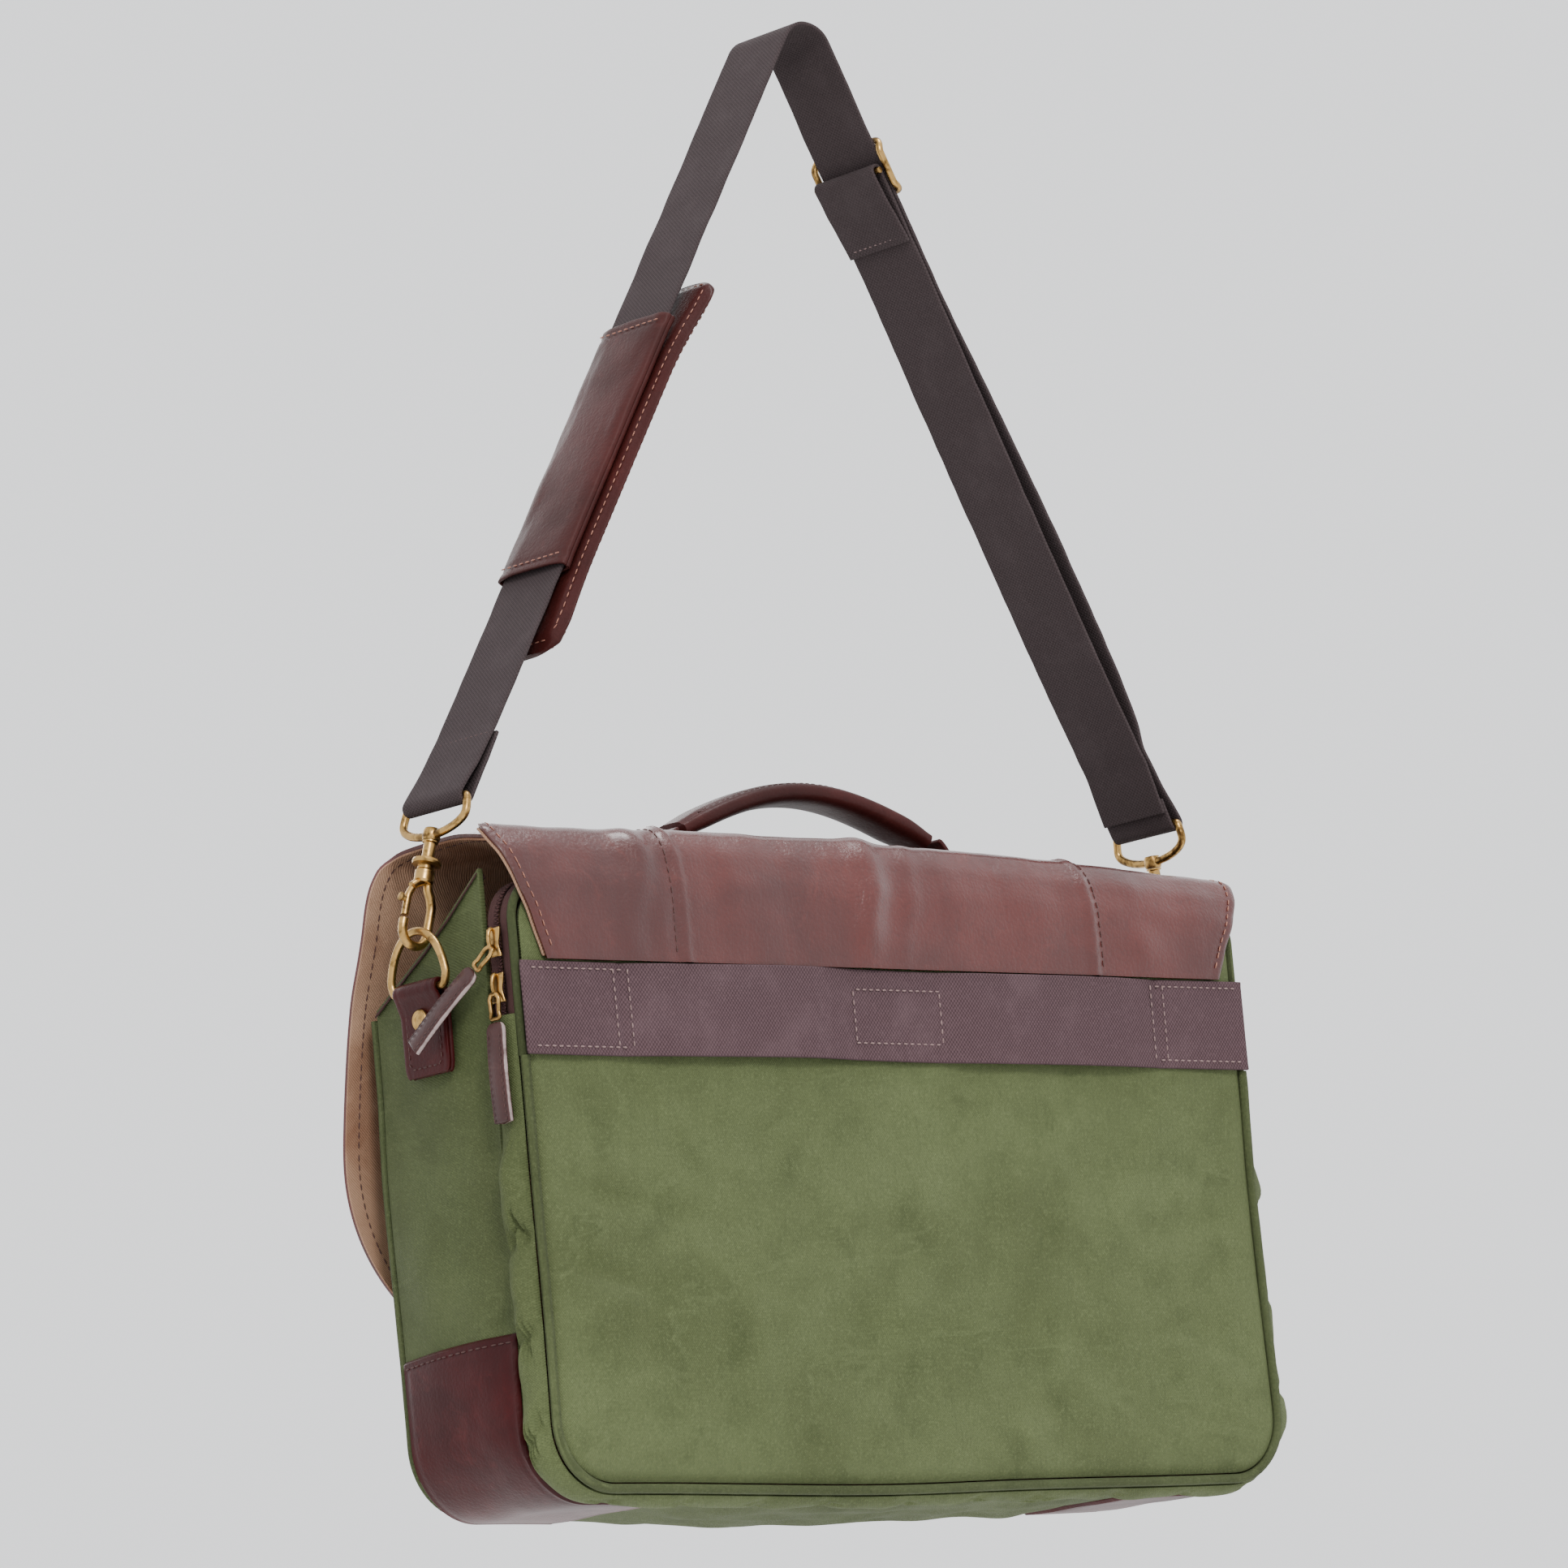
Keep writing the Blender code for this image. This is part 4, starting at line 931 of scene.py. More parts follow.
def makePocket():
    # flat pocket on the front, under the flap
    low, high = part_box("front_pocket")
    half = (high.x - low.x) / 2
    centre = (high.x + low.x) / 2
    deep = high.y - low.y
    corner = 0.004

    def spot(u, v):
        # down one side wall, across the front and back along the other
        s = u * (2 * deep + 2 * half)
        if s < deep:
            x, y = -half, high.y - s
        elif s < deep + 2 * half:
            x, y = -half + s - deep, low.y
        else:
            x, y = half, low.y + s - deep - 2 * half
        if y < low.y + 1e-6:
            y += corner * (1 - math.sqrt(max(0.0, 1 - max(0.0, (abs(x) - half + corner) / corner) ** 2)))
            y += 0.0014 * ripple(x, 0, v, 14, 4) * math.sin(math.pi * v) * smooth(half, half - 0.03, abs(x))
        return Vector((centre + x, y, low.z + (high.z - low.z) * v))

    size = (2 * half + 2 * deep, high.z - low.z)
    piece = sheetPiece("frontPocket", (160, 50), size, spot, aside(-1), 0.0018)
    settle(piece, "bag", canvas, "canvas", "front_pocket")
    hem = [Vector((centre + x, low.y - 0.0002, high.z - 0.012)) for x in (-half + 0.006, half - 0.006)]
    settle(stitchRow("pocketHem", [(hem, aside(-1))]), "bag", canvasThread, "canvas")
    low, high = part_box("pocket_floor")

    def floorSpot(u, v):
        return Vector((low.x + (high.x - low.x) * u, low.y + (high.y - low.y) * v, low.z))

    floor = sheetPiece("pocketFloor", (40, 3), (0.3, 0.01), floorSpot, Vector((0, 0, -1)), 0.0018)
    settle(floor, "bag", canvas, "canvas", "pocket_floor")


makePanels()
makeStrip()
makePiping()
makeZipPiping()
makeGussets()
makeBase()
makePocket()
print("canvas body made")

# ---- zip ----

zipShape = {"pitch": 0.0017, "bailWire": 0.0009, "overlap": 0.0012}
pullShape = {"top": 0.0016, "length": 0.0425, "half": 0.0052, "thick": 0.0017, "seamIn": 0.0014}


def makeZipTape():
    b = bodyShape
    for name, node in (("zipTapeFront", "zip_tape_front"), ("zipTapeRear", "zip_tape_rear")):
        low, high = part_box(node)
        path = archPath(halfWidth, b["zipStart"] - 0.002, bodyTop, b["archRadius"])
        length = runLength(path)
        front, rear = low.y - bagOrigin.y, high.y - bagOrigin.y
        if name == "zipTapeFront":
            rear += zipShape["overlap"]
        else:
            front -= zipShape["overlap"]

        def spot(u, v):
            here, along = alongPath(path, v)
            out = Vector((-along.z, 0, along.x)) * -1
            wave = 0.0003 * ripple(v * length, u, 0, 90, 3)
            inner = u if name == "zipTapeFront" else 1 - u
            lift = -0.0002 - 0.0007 * smooth(0.6, 1.0, inner) + wave
            return inBag(here.x + out.x * lift, front + (rear - front) * u, here.z + out.z * lift)

        piece = sheetPiece(name, (8, 200), (rear - front, length), spot,
                           lambda at: at - inBag(0, 0, 0.19), 0.0012)
        settle(piece, "bag", zipCloth, "zip", node)


def makeZipCoil():
    # a spiral coil: one small loop after another across the gap
    b = bodyShape
    low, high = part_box("zip_teeth")
    middle = (low.y + high.y) / 2 - bagOrigin.y
    path = archPath(halfWidth + 0.0001, b["zipStart"], bodyTop + 0.0001, b["archRadius"] + 0.0001, 0.0005)
    pattern = threadPattern(0.0014, 0.0013)
    places = []
    gone, mark, sign = 0.0, 0.0, 1
    for before, after in zip(path, path[1:]):
        gone += (after - before).length
        if gone >= mark:
            mark += zipShape["pitch"] / 2
            sign = -sign
            along = (after - before).normalized()
            out = Vector((along.z, 0, -along.x))
            if out.dot(after - Vector((0, 0, 0.19))) < 0:
                out = -out
            at = bagOrigin + after + Vector((0, middle + sign * 0.0006, 0))
            across = (Vector((0, 1, 0)) + along * 0.35 * sign).normalized()
            places.append(frameAt(at, across, out) @ Matrix.Diagonal((1.35, 0.62, 1.0, 1)))
    piece = repeated("zipCoil", pattern, places)
    bpy.data.objects.remove(pattern)
    settle(piece, "bag", zipCloth, "zip", "zip_teeth")


def makeSlider(name):
    low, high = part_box("zip_slider_" + name)
    size = high - low
    centre = (low + high) / 2
    wide = size.y / 2

    def spot(u, v):
        # a waisted plate with a crowned face
        z = low.z + size.z * v
        waist = wide * (1 - 0.22 * math.sin(math.pi * min(v * 1.15, 1.0)) ** 2)
        y = waist * (2 * u - 1)
        crown = 0.0008 * (1 - (2 * u - 1) ** 4) * math.sin(math.pi * v) ** 0.4
        return Vector((high.x - 0.0008 + crown, centre.y + y, z))

    plate = sheetPiece("plate", (14, 20), (wide, size.z), spot, Vector((1, 0, 0)), size.x - 0.0009,
                       rim=0.0005)
    bridge = []
    for i in range(15):
        a = math.pi * i / 14
        z = centre.z + 0.0012 - 0.0046 * math.cos(a)
        bridge.append((high.x - 0.0003 + 0.0022 * math.sin(a), centre.y, z))
    loop = wirePiece("bridge", bridge, 0.0008, sides=3)
    plate = joined("zipSlider_" + name, [plate, loop])
    settle(plate, name + "_slider", brass, "brass", "zip_slider_" + name)


def makePull(name):
    # wire bail through the bridge, and a folded leather tab on it
    lift = jointAt(name + "_bail_lift")
    sway = jointAt(name + "_pull_sway")
    down = (sway - lift).normalized()
    across = aside(1)
    if name == "upper":
        across = (across - down * down.y).normalized()
    out = down.cross(across)
    if out.x < 0:
        out = -out
    drop = (sway - lift).length
    heel = 0.0010 if name == "upper" else 0.0004
    edge = ((0.0016, -heel), (0.0030, 0.0016), (0.0024, drop - 0.0022), (0.0030, drop - 0.0004),
            (0.0022, drop + 0.0004))
    edge = [(-0.0016, -heel)] + list(edge) + [(-side, along) for side, along in reversed(edge[1:])]
    loop = [lift + across * side + down * along for side, along in edge]
    bail = wirePiece("zipBail_" + name, evenPath(loop, 0.0003, 3, True), zipShape["bailWire"], True, 3)
    settle(bail, name + "_bail", brass, "brass", "zip_bail_" + name)
    top, length, half, thick = (pullShape[key] for key in ("top", "length", "half", "thick"))
    seam = half - pullShape["seamIn"]

    def bend(v):
        return 0.0008 * math.sin(v * math.pi)

    def spot(u, v):
        a = 2 * math.pi * u
        wide = half * smooth(-0.10, 0.07, v) * (1 - 0.10 * smooth(0.10, 0.0, v))
        end = 1 - 0.5 * smooth(0.975, 1.0, v) if v > 0.5 else 1.0
        wide *= 0.995 if 0.0 < v < 1.0 else 0.0
        deep = thick * (1 - 0.35 * smooth(0.08, 0.0, v)) * (0 if v in (0.0, 1.0) else end)
        y = wide * rounded(math.cos(a), 0.35)
        z = deep * rounded(math.sin(a), 0.55)
        inset = 0.00035 * math.exp(-((abs(y) - seam) / 0.0005) ** 2) * math.copysign(1, z)
        z += bend(v) - inset * (0.1 < v < 0.97)
        return sway + across * y + out * z + down * (top + length * v)

    tab = closedPiece("zipPull_" + name, (32, 60), (0.024, length), spot)
    settle(tab, name + "_pull", pullLeather, "leather", "zip_tab_" + name)
    rows = []
    for s in (-1, 1):
        points = [sway + across * s * seam + out * (thick + 0.0001 + bend(v)) + down * (top + length * v)
                  for v in np.linspace(0.12, 0.96, 10)]
        rows.append((points, out))
    settle(stitchRow("pullStitches_" + name, rows, 0.0026, 0.0019, 0.0005), name + "_pull", darkThread,
           "leather")


makeZipTape()
makeZipCoil()
for which in ("upper", "lower"):
    makeSlider(which)
    makePull(which)
print("zip made")

# ---- luggage band ----

bandShape = {"seamX": 0.152, "boxX": 0.0245, "bow": 0.0022, "seamGap": 0.0075, "edge": 0.0032,
             "thick": 0.0016}


def bandFace(x):
    # the band lies against the back at its seams, and a little off it between them
    b = bandShape
    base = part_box("luggage_band")[0].y - bagOrigin.y + b["thick"]
    away = abs(x)
    if b["boxX"] < away < b["seamX"]:
        t = (away - b["boxX"]) / (b["seamX"] - b["boxX"])
        return base + b["bow"] * min(1.0, 6.4 * t * (1 - t))
    return base


def makeBand():
    low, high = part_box("luggage_band")
    bottom, top = low.z - bagOrigin.z, high.z - bagOrigin.z
    half = (high.x - low.x) / 2

    def spot(u, v):
        x = half * (2 * u - 1)
        z = bottom + (top - bottom) * v
        selvedge = 0.0003 * smooth(0.44, 0.5, abs(v - 0.5))
        y = bandFace(x) + selvedge + 0.0005 * ripple(x, 0, z, 20, 4)
        y -= 0.0006 * math.exp(-((abs(x) - bandShape["seamX"]) / 0.002) ** 2)
        droop = 0.0008 * ripple(x, 0, 0, 9, 2)
        return inBag(x, y, z + droop)

    out = aside(1)
    piece = sheetPiece("luggageBand", (260, 20), (2 * half, top - bottom), spot, out, bandShape["thick"],
                       rim=0.0005)
    settle(piece, "bag", bandWebbing, "webbing", "luggage_band")
    b = bandShape

    def at(x, z):
        return inBag(x, bandFace(x) + 0.0003, z)

    rows = []
    for s in (-1, 1):
        for x in (b["seamX"] - b["seamGap"] / 2, b["seamX"] + b["seamGap"] / 2):
            rows.append(([at(s * x, bottom + 0.002), at(s * (x + 0.0004), top - 0.002)], out))
        for z in (bottom + b["edge"], top - b["edge"]):
            rows.append(([at(s * (half - 0.004), z), at(s * (b["seamX"] + 0.001), z)], out))
    box = [(-b["boxX"], bottom + 0.0075), (b["boxX"], bottom + 0.0075), (b["boxX"], top - 0.0085),
           (-b["boxX"], top - 0.0085), (-b["boxX"], bottom + 0.0075)]
    for (x0, z0), (x1, z1) in zip(box, box[1:]):
        rows.append(([at(x0, z0), at(x1, z1)], out))
    settle(stitchRow("bandStitches", rows, 0.0038, 0.0024, 0.0009), "bag", bandThread, "webbing")


makeBand()
print("band made")

# ---- flap ----

flapShape = {
    "half": 0.2125, "waist": 0.186, "hemHalf": 0.191, "top": 0.2805, "bendY": -0.0460, "bendZ": 0.2765,
    "bottom": 0.072, "cornerRadius": 0.085, "flare": 0.021, "leather": 0.0022, "lining": 0.0010,
    "seamX": 0.1165, "seamHalf": 0.0022, "seamRise": 0.0013, "stitchIn": 0.0042, "sink": 0.0115,
    # folds down the back: where, how they lean, how high and how wide
    "folds": [(0.143, -0.10, 0.0022, 0.0075), (0.128, -0.15, 0.0012, 0.0050), (0.014, -0.18, 0.0026, 0.0080),
              (-0.004, -0.25, 0.0014, 0.0050), (-0.150, 0.10, 0.0014, 0.0100)],
}


def flapProfile():
    # (y, z, half width) from the hem at the band, over the top and down the front
    f = flapShape
    hemY = bodyDepth["back"] + 0.0041
    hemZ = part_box("flap_top")[0].z - bagOrigin.z
    stations = [(hemY, hemZ, f["hemHalf"]), (hemY, 0.240, 0.1975), (hemY - 0.0004, 0.256, 0.2040),
                (hemY - 0.0038, 0.269, 0.2090), (hemY - 0.0100, f["top"] - 0.0020, f["half"]),
                (0.0345, f["top"], 0.2090), (0.0290, f["top"], 0.2000), (0.0225, f["top"], 0.1905),
                (0.0150, f["top"], f["waist"]), (-0.0330, f["top"], f["waist"]), (-0.0400, f["top"], 0.1885),
                (f["bendY"], f["top"], 0.1920), (f["bendY"] - 0.0030, f["top"] - 0.0012, 0.1925)]
    centre = f["bottom"] + f["cornerRadius"]
    deep = f["bendZ"] - f["bottom"]
    for i in range(60):
        drop = 0.0045 + (deep - 0.0045) * (1 - math.cos(math.pi * i / 59)) / 2
        y = f["bendY"] - 0.0045 - f["flare"] * math.sin(min(drop / deep, 1.0) * math.pi * 0.55)
        y += 0.0060 * smooth(0.060, 0.010, drop)
        z = f["bendZ"] - drop
        shoulder = 1 - min(drop / 0.022, 1)
        half = f["half"] - 0.0080 * smooth(0.120, 0.0, drop) - 0.0120 * (1 - math.sqrt(1 - shoulder ** 2))
        if z < centre:
            half += math.sqrt(f["cornerRadius"] ** 2 - (0.985 * (centre - z)) ** 2) - f["cornerRadius"]
        stations.append((y, z, half))
    return evenPath([(half, y, z) for y, z, half in stations], 0.0012)


flapLine = flapProfile()
flapEased = [np.array(flapLine)[:, k].copy() for k in range(3)]
for _ in range(10):
    for k in (1, 2):
        flapEased[k][1:-1] = (flapEased[k][:-2] + 2 * flapEased[k][1:-1] + flapEased[k][2:]) / 4
flapY, flapZ = flapEased[1], flapEased[2]
flapHalf = flapEased[0]
for _ in range(8):
    flapHalf[1:-1] = (flapHalf[:-2] + 2 * flapHalf[1:-1] + flapHalf[2:]) / 4
# the front bend is a soft one
nearBend = np.exp(-((flapY - flapShape["bendY"]) / 0.024) ** 2)
nearBend *= np.clip((flapZ - flapShape["bendZ"] + 0.050) / 0.020, 0, 1)
for _ in range(260):
    for k in (1, 2):
        eased = (flapEased[k][:-2] + 2 * flapEased[k][1:-1] + flapEased[k][2:]) / 4
        flapEased[k][1:-1] += nearBend[1:-1] * (eased - flapEased[k][1:-1])
flapRun = np.concatenate([[0], np.cumsum(np.hypot(np.diff(flapY), np.diff(flapZ)))])
flapLength = float(flapRun[-1])


def flapAt(s):
    # y, z, half width and the outward direction at a distance s from the hem
    y, z, half = (float(np.interp(s, flapRun, values)) for values in (flapY, flapZ, flapHalf))
    step = 0.002
    ahead = min(s + step, flapLength)
    behind = max(s - step, 0)
    dy = float(np.interp(ahead, flapRun, flapY) - np.interp(behind, flapRun, flapY))
    dz = float(np.interp(ahead, flapRun, flapZ) - np.interp(behind, flapRun, flapZ))
    along = Vector((0, dy, dz)).normalized()
    return y, z, half, Vector((0, along.z, -along.y))


def flapPuff(x, s):
    # the leather's soft flutes, strongest down the back, and its groove along the edge
    f = flapShape
    down = smooth(0.085, 0.050, s) * smooth(-0.01, 0.02, s)
    front = smooth(0.175, 0.24, s)
    flute = 0.0012 * ripple(x, 0, s * 0.25, 26, 2) + 0.0006 * ripple(x, 0, s * 0.3, 60, 6)
    for at, lean, high, wide in f["folds"]:
        off = x - at - lean * s + 0.0050 * ripple(at, 0, s, 34, 3)
        flute += high * (0.75 + 0.9 * ripple(at, 0, s, 46, 8)) * math.exp(-(off / wide) ** 2)
    flute += 0.0016 * ripple(x + 0.5 * s, 0, s * 1.4, 48, 12) * (0.4 + ripple(x, 0, 0, 11, 6))
    return down * flute + (0.3 + front) * 0.0009 * ripple(x, 0, s, 14, 9)


def flapSink(x, y, z):
    # the top has settled lower towards the adjuster's side
    f = flapShape
    share = min(max((0.06 - x) / 0.2725, 0), 1) ** 1.5
    height = smooth(0.222, 0.275, z) if y > 0 else smooth(0.20, 0.275, z)
    perk = 0.0045 * smooth(0.12, 0.19, x) * smooth(0.022, -0.012, y) * smooth(0.235, 0.275, z)
    return f["sink"] * share * height - perk


def flapSpot(x, s, depth):
    y, z, _, out = flapAt(s)
    puff = flapPuff(x, s) - depth
    return inBag(x, y + out.y * puff, z + out.z * puff - flapSink(x, y, z))


def flapOut(at):
    # outward, by where a point is round the profile
    y, z = at.y - bagOrigin.y, at.z - bagOrigin.z
    if z < flapShape["bendZ"] - 0.004:
        return Vector((0, 1 if y > 0 else -1, 0.1))
    return Vector((0, (y + 0.003) * 6, 1))


def settleFlap(piece, finish, slot, *nodes):
    finished(piece, finish, slot, *nodes)
    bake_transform(piece)


def makeFlap():
    f = flapShape

    def spot(u, v):
        s = flapLength * v
        half = flapAt(s)[2]
        x = half * (2 * u - 1)
        nearest = min(half - abs(x), flapLength - s)
        groove = 0.0006 * math.exp(-((nearest - f["stitchIn"]) / 0.0011) ** 2)
        rolled = 0.0007 * smooth(0.0016, 0.0, nearest)
        raised = f["seamRise"] * math.exp(-((abs(x) - f["seamX"]) / f["seamHalf"]) ** 4)
        step = 0.0004 * smooth(f["seamX"] + 0.001, f["seamX"] - 0.001, abs(x))
        return flapSpot(x, s, groove + rolled - raised - step)

    size = (2 * f["half"], flapLength)
    hide = sheetPiece("flapHide", (170, 210), size, spot, flapOut, f["leather"], rim=0.0005)
    settleFlap(hide, flapLeather, "leather", "flap_top", "flap_front", "flap_seam_left", "flap_seam_right",
               "flap_front_seam_left", "flap_front_seam_right")

    def liningSpot(u, v):
        s = flapLength * (0.004 + 0.993 * v)
        return flapSpot((flapAt(s)[2] + 0.0003) * (2 * u - 1), s, f["leather"] + 0.0002)

    under = sheetPiece("flapLining", (80, 150), size, liningSpot, flapOut, f["lining"], rim=0.0003)
    settleFlap(under, lining, "lining", "flap_top_lining", "flap_front_lining")

    def stitchLines(start, end, count, depth, x, out=flapOut):
        # a line down each side of the flap: x(t) is its distance from the middle
        return [([flapSpot(s * x(t), t, depth) for t in np.linspace(start, end, count)], out)
                for s in (-1, 1)]

    edges = stitchLines(0.004, flapLength - f["stitchIn"], 260, 0.0001,
                        lambda t: flapAt(t)[2] - f["stitchIn"])
    settleFlap(stitchRow("flapEdgeStitches", edges), leatherThread, "leather")
    beside = stitchLines(0.003, flapLength - 0.006, 200, -0.0001, lambda t: f["seamX"] + 0.0048)
    settleFlap(stitchRow("flapSeamStitches", beside), darkThread, "leather")
    under = stitchLines(0.02, flapLength - 0.008, 240, f["leather"] + f["lining"] + 0.0004,
                        lambda t: flapAt(t)[2] - 0.0062, lambda at: -flapOut(at))
    settleFlap(stitchRow("liningStitches", under), darkThread, "lining")


# shares of a snap's radius and height
snapProfile = [(0, 0), (0.96, 0), (1, 0.2), (1, 0.7), (0.9, 1), (0.55, 1), (0.5, 0.7), (0, 0.7)]


def makeMagnets():
    for side in sides:
        for node, body, facing in (("flap_magnet_", "flap", 1), ("pocket_magnet_", "bag", -1)):
            low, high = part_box(node + side)
            radius = (high.x - low.x) / 2
            deep = high.y - low.y
            profile = [(radius * r, deep * z) for r, z in snapProfile]
            base = (low + high) / 2
            base.y = low.y if facing > 0 else high.y
            turn = Matrix.Translation(base) @ Matrix.Rotation(-facing * math.pi / 2, 4, "X")
            snap = turnedPiece(("flapSnap_" if body == "flap" else "pocketSnap_") + side, profile, turn)
            settle(snap, body, brass, "brass", node + side)


makeFlap()
makeMagnets()
print("flap made")

# ---- carry handle ----

handleShape = {"half": 0.0718, "rise": 0.0192, "width": 0.0235, "thick": 0.0092,
               "seamY": 0.0080}


def makeHandle():
    h = handleShape
    axis = jointAt("handle_fold")
    length = 2 * h["half"] * 1.02

    def arch(t):
        return h["half"] * (2 * t - 1), h["rise"] * math.sin(math.pi * t)

    def spot(u, t):
        x, z = arch(t)
        slope = h["rise"] * math.pi / (2 * h["half"]) * math.cos(math.pi * t)
        along = Vector((1, 0, slope)).normalized()
        out = Vector((-along.z, 0, along.x))
        a = 2 * math.pi * u
        fat = 1 - 0.18 * smooth(0.12, 0.0, min(t, 1 - t))
        end = 0.0 if t in (0.0, 1.0) else 1.0
        wide = h["width"] / 2 * fat * rounded(math.cos(a), 0.6) * end
        deep = h["thick"] / 2 * fat * rounded(math.sin(a), 0.8) * end
        deep -= 0.0005 * math.exp(-((abs(wide) - h["seamY"]) / 0.0008) ** 2) * (deep > 0)
        return axis + Vector((x, wide, z)) + out * deep

    grip = closedPiece("carryHandle", (40, 90), (0.055, length), spot)
    settle(grip, "handle", padLeather, "leather", "carry_handle")
    rows = []
    for s in (-1, 1):
        points = []
        for t in np.linspace(0.06, 0.94, 60):
            x, z = arch(t)
            points.append(axis + Vector((x, s * h["seamY"], z + h["thick"] / 2 * 0.84)))
        rows.append((points, Vector((0, 0, 1))))
    settle(stitchRow("handleStitches", rows, 0.0036, 0.0026, 0.0007), "handle", darkThread, "leather")
    for side, s in sides.items():
        low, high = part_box("handle_tab_" + side)
        centre = (low + high) / 2
        size = high - low

        def tabSpot(u, v, low=low, size=size, centre=centre, s=s):
            # the tab leaves the grip's end and lies down on the flap, with a pointed end
            t = v if s > 0 else 1 - v
            x = low.x + size.x * v
            narrow = 1 - 0.35 * smooth(0.72, 1.0, t) - 0.10 * smooth(0.25, 0.0, t)
            y = centre.y + size.y / 2 * narrow * (2 * u - 1)
            rest = low.z + 0.0022 - flapSink(x - bagOrigin.x, 0, flapShape["top"])
            lift = rest + (axis.z + 0.0012 - rest) * smooth(0.34, 0.0, t)
            return Vector((x, y, lift))

        tab = sheetPiece("handleTab_" + side, (16, 20), (size.y, size.x), tabSpot, Vector((0, 0, 1)), 0.0020,
                         rim=0.0005)
        settle(tab, "bag", padLeather, "leather", "handle_tab_" + side)
        box = []
        for a in range(13):
            turn = 2 * math.pi * a / 12
            x = centre.x + s * 0.002 + 0.0085 * clipped(1.3 * math.cos(turn))
            y = centre.y + 0.0075 * clipped(1.3 * math.sin(turn))
            sink = flapSink(x - bagOrigin.x, 0, flapShape["top"])
            box.append(Vector((x, y, low.z + 0.0024 - sink)))
        settle(stitchRow("handleTabStitches_" + side, [(box, Vector((0, 0, 1)))], 0.003, 0.0022, 0.0007),
               "bag", darkThread, "leather")


makeHandle()
print("handle made")

# ---- rings and their tabs ----

ringShape = {"half": 0.0187, "rise": 0.025, "wire": 0.0018, "tabWidth": 0.0290, "tabThick": 0.0018,
             "tabBottom": 0.181, "seamIn": 0.0030}


# shares of a rivet's radius and height
rivetProfile = [(1, 0.35), (0.88, 0.85), (0.62, 0.90), (0.55, 0.62), (0.2, 0.72), (0, 0.74)]


def makeRing(side, s):
    r = ringShape
    pivot = jointAt(side + "_ring_swing")
    points = [pivot + aside(y) for y in np.linspace(-0.0165, 0.0165, 12)]
    for i in range(3, 46):
        a = math.pi * i / 48
        points.append(pivot + Vector((0, r["half"] * math.cos(a), r["rise"] * math.sin(a))))
    ring = wirePiece("dRing_" + side, evenPath(points, 0.0008, 5, True), r["wire"], True, 5)
    settle(ring, side + "_ring", brass, "brass", "d_ring_" + side)
    loop = r["wire"] + 0.0003 + r["tabThick"] / 2 + 0.0003
    ringX = abs(pivot.x - bagOrigin.x)
    ringZ = pivot.z - bagOrigin.z
    inner = ringX - loop - 0.0002
    outer = inner + r["tabThick"] + 0.0003
    path = [(inner, r["tabBottom"]), (inner, ringZ - 0.003)]
    for a in np.linspace(185, -50, 24):
        path.append((ringX + loop * math.cos(math.radians(a)), ringZ + loop * math.sin(math.radians(a))))
    path += [(outer + 0.0004, ringZ - 0.0095), (outer, r["tabBottom"])]
    path = evenPath([(x, 0, z) for x, z in path], 0.0006, 4)
    length = runLength(path)

    def wide(z):
        # the loop is narrower over the ring's bar, and the end is cut round
        narrow = 1 - 0.06 * smooth(ringZ - 0.012, ringZ + 0.001, z)
        near = z - r["tabBottom"]
        cut = 1 - 0.16 * (1 - math.sqrt(max(0.0, 1 - max(0.0, (0.006 - near) / 0.006) ** 2)))
        return r["tabWidth"] / 2 * narrow * cut

    def spot(u, v):
        here, along = alongPath(path, v)
        across = 2 * u - 1
        y = hangY + wide(here.z) * across
        out = Vector((-along.z, 0, along.x))
        edge = (1 - abs(across)) * r["tabWidth"] / 2
        lift = -0.0004 * smooth(0.0016, 0.0, edge)
        lift -= 0.0003 * math.exp(-((edge - r["seamIn"]) / 0.0008) ** 2)
        return inBag(s * (here.x + out.x * lift), y, here.z + out.z * lift)

    def outward(at):
        if at.z < pivot.z - 0.006:
            return Vector((s if abs(at.x - bagOrigin.x) > inner + r["tabThick"] / 2 else -s, 0, 0))
        return Vector((at.x - pivot.x, 0, at.z - pivot.z + 0.004))

    size = (r["tabWidth"], length)
    tab = sheetPiece("ringTab_" + side, (24, 130), size, spot, outward, r["tabThick"], 0.0, 0.0004)
    settle(tab, "bag", darkLeather, "leather", "ring_tab_" + side)
    face = outer + r["tabThick"] / 2 + 0.0002
    half = r["tabWidth"] / 2 - r["seamIn"]
    low, high = r["tabBottom"] + 0.0035, ringZ - 0.0060
    corners = [(half - 0.0008, high), (half - 0.001, low + 0.002), (half - 0.003, low)]
    corners += [(-y, z) for y, z in reversed(corners)]
    row = [inBag(s * face, hangY + y, z) for y, z in corners]
    settle(stitchRow("tabStitches_" + side, [(row, Vector((s, 0, 0)))], 0.0034, 0.0024, 0.0007), "bag",
           darkThread, "leather")
    low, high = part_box("tab_rivet_" + side)
    radius = (high.y - low.y) / 2
    deep = high.x - low.x
    profile = [(0, -0.0005), (radius, -0.0005)] + [(radius * r, deep * z) for r, z in rivetProfile]
    base = Vector((low.x if s > 0 else high.x, (low.y + high.y) / 2, (low.z + high.z) / 2))
    place = Matrix.Translation(base) @ Matrix.Rotation(s * math.pi / 2, 4, "Y")
    rivet = turnedPiece("tabRivet_" + side, profile, place)
    settle(rivet, "bag", brass, "brass", "tab_rivet_" + side)


# ---- swivel hooks ----

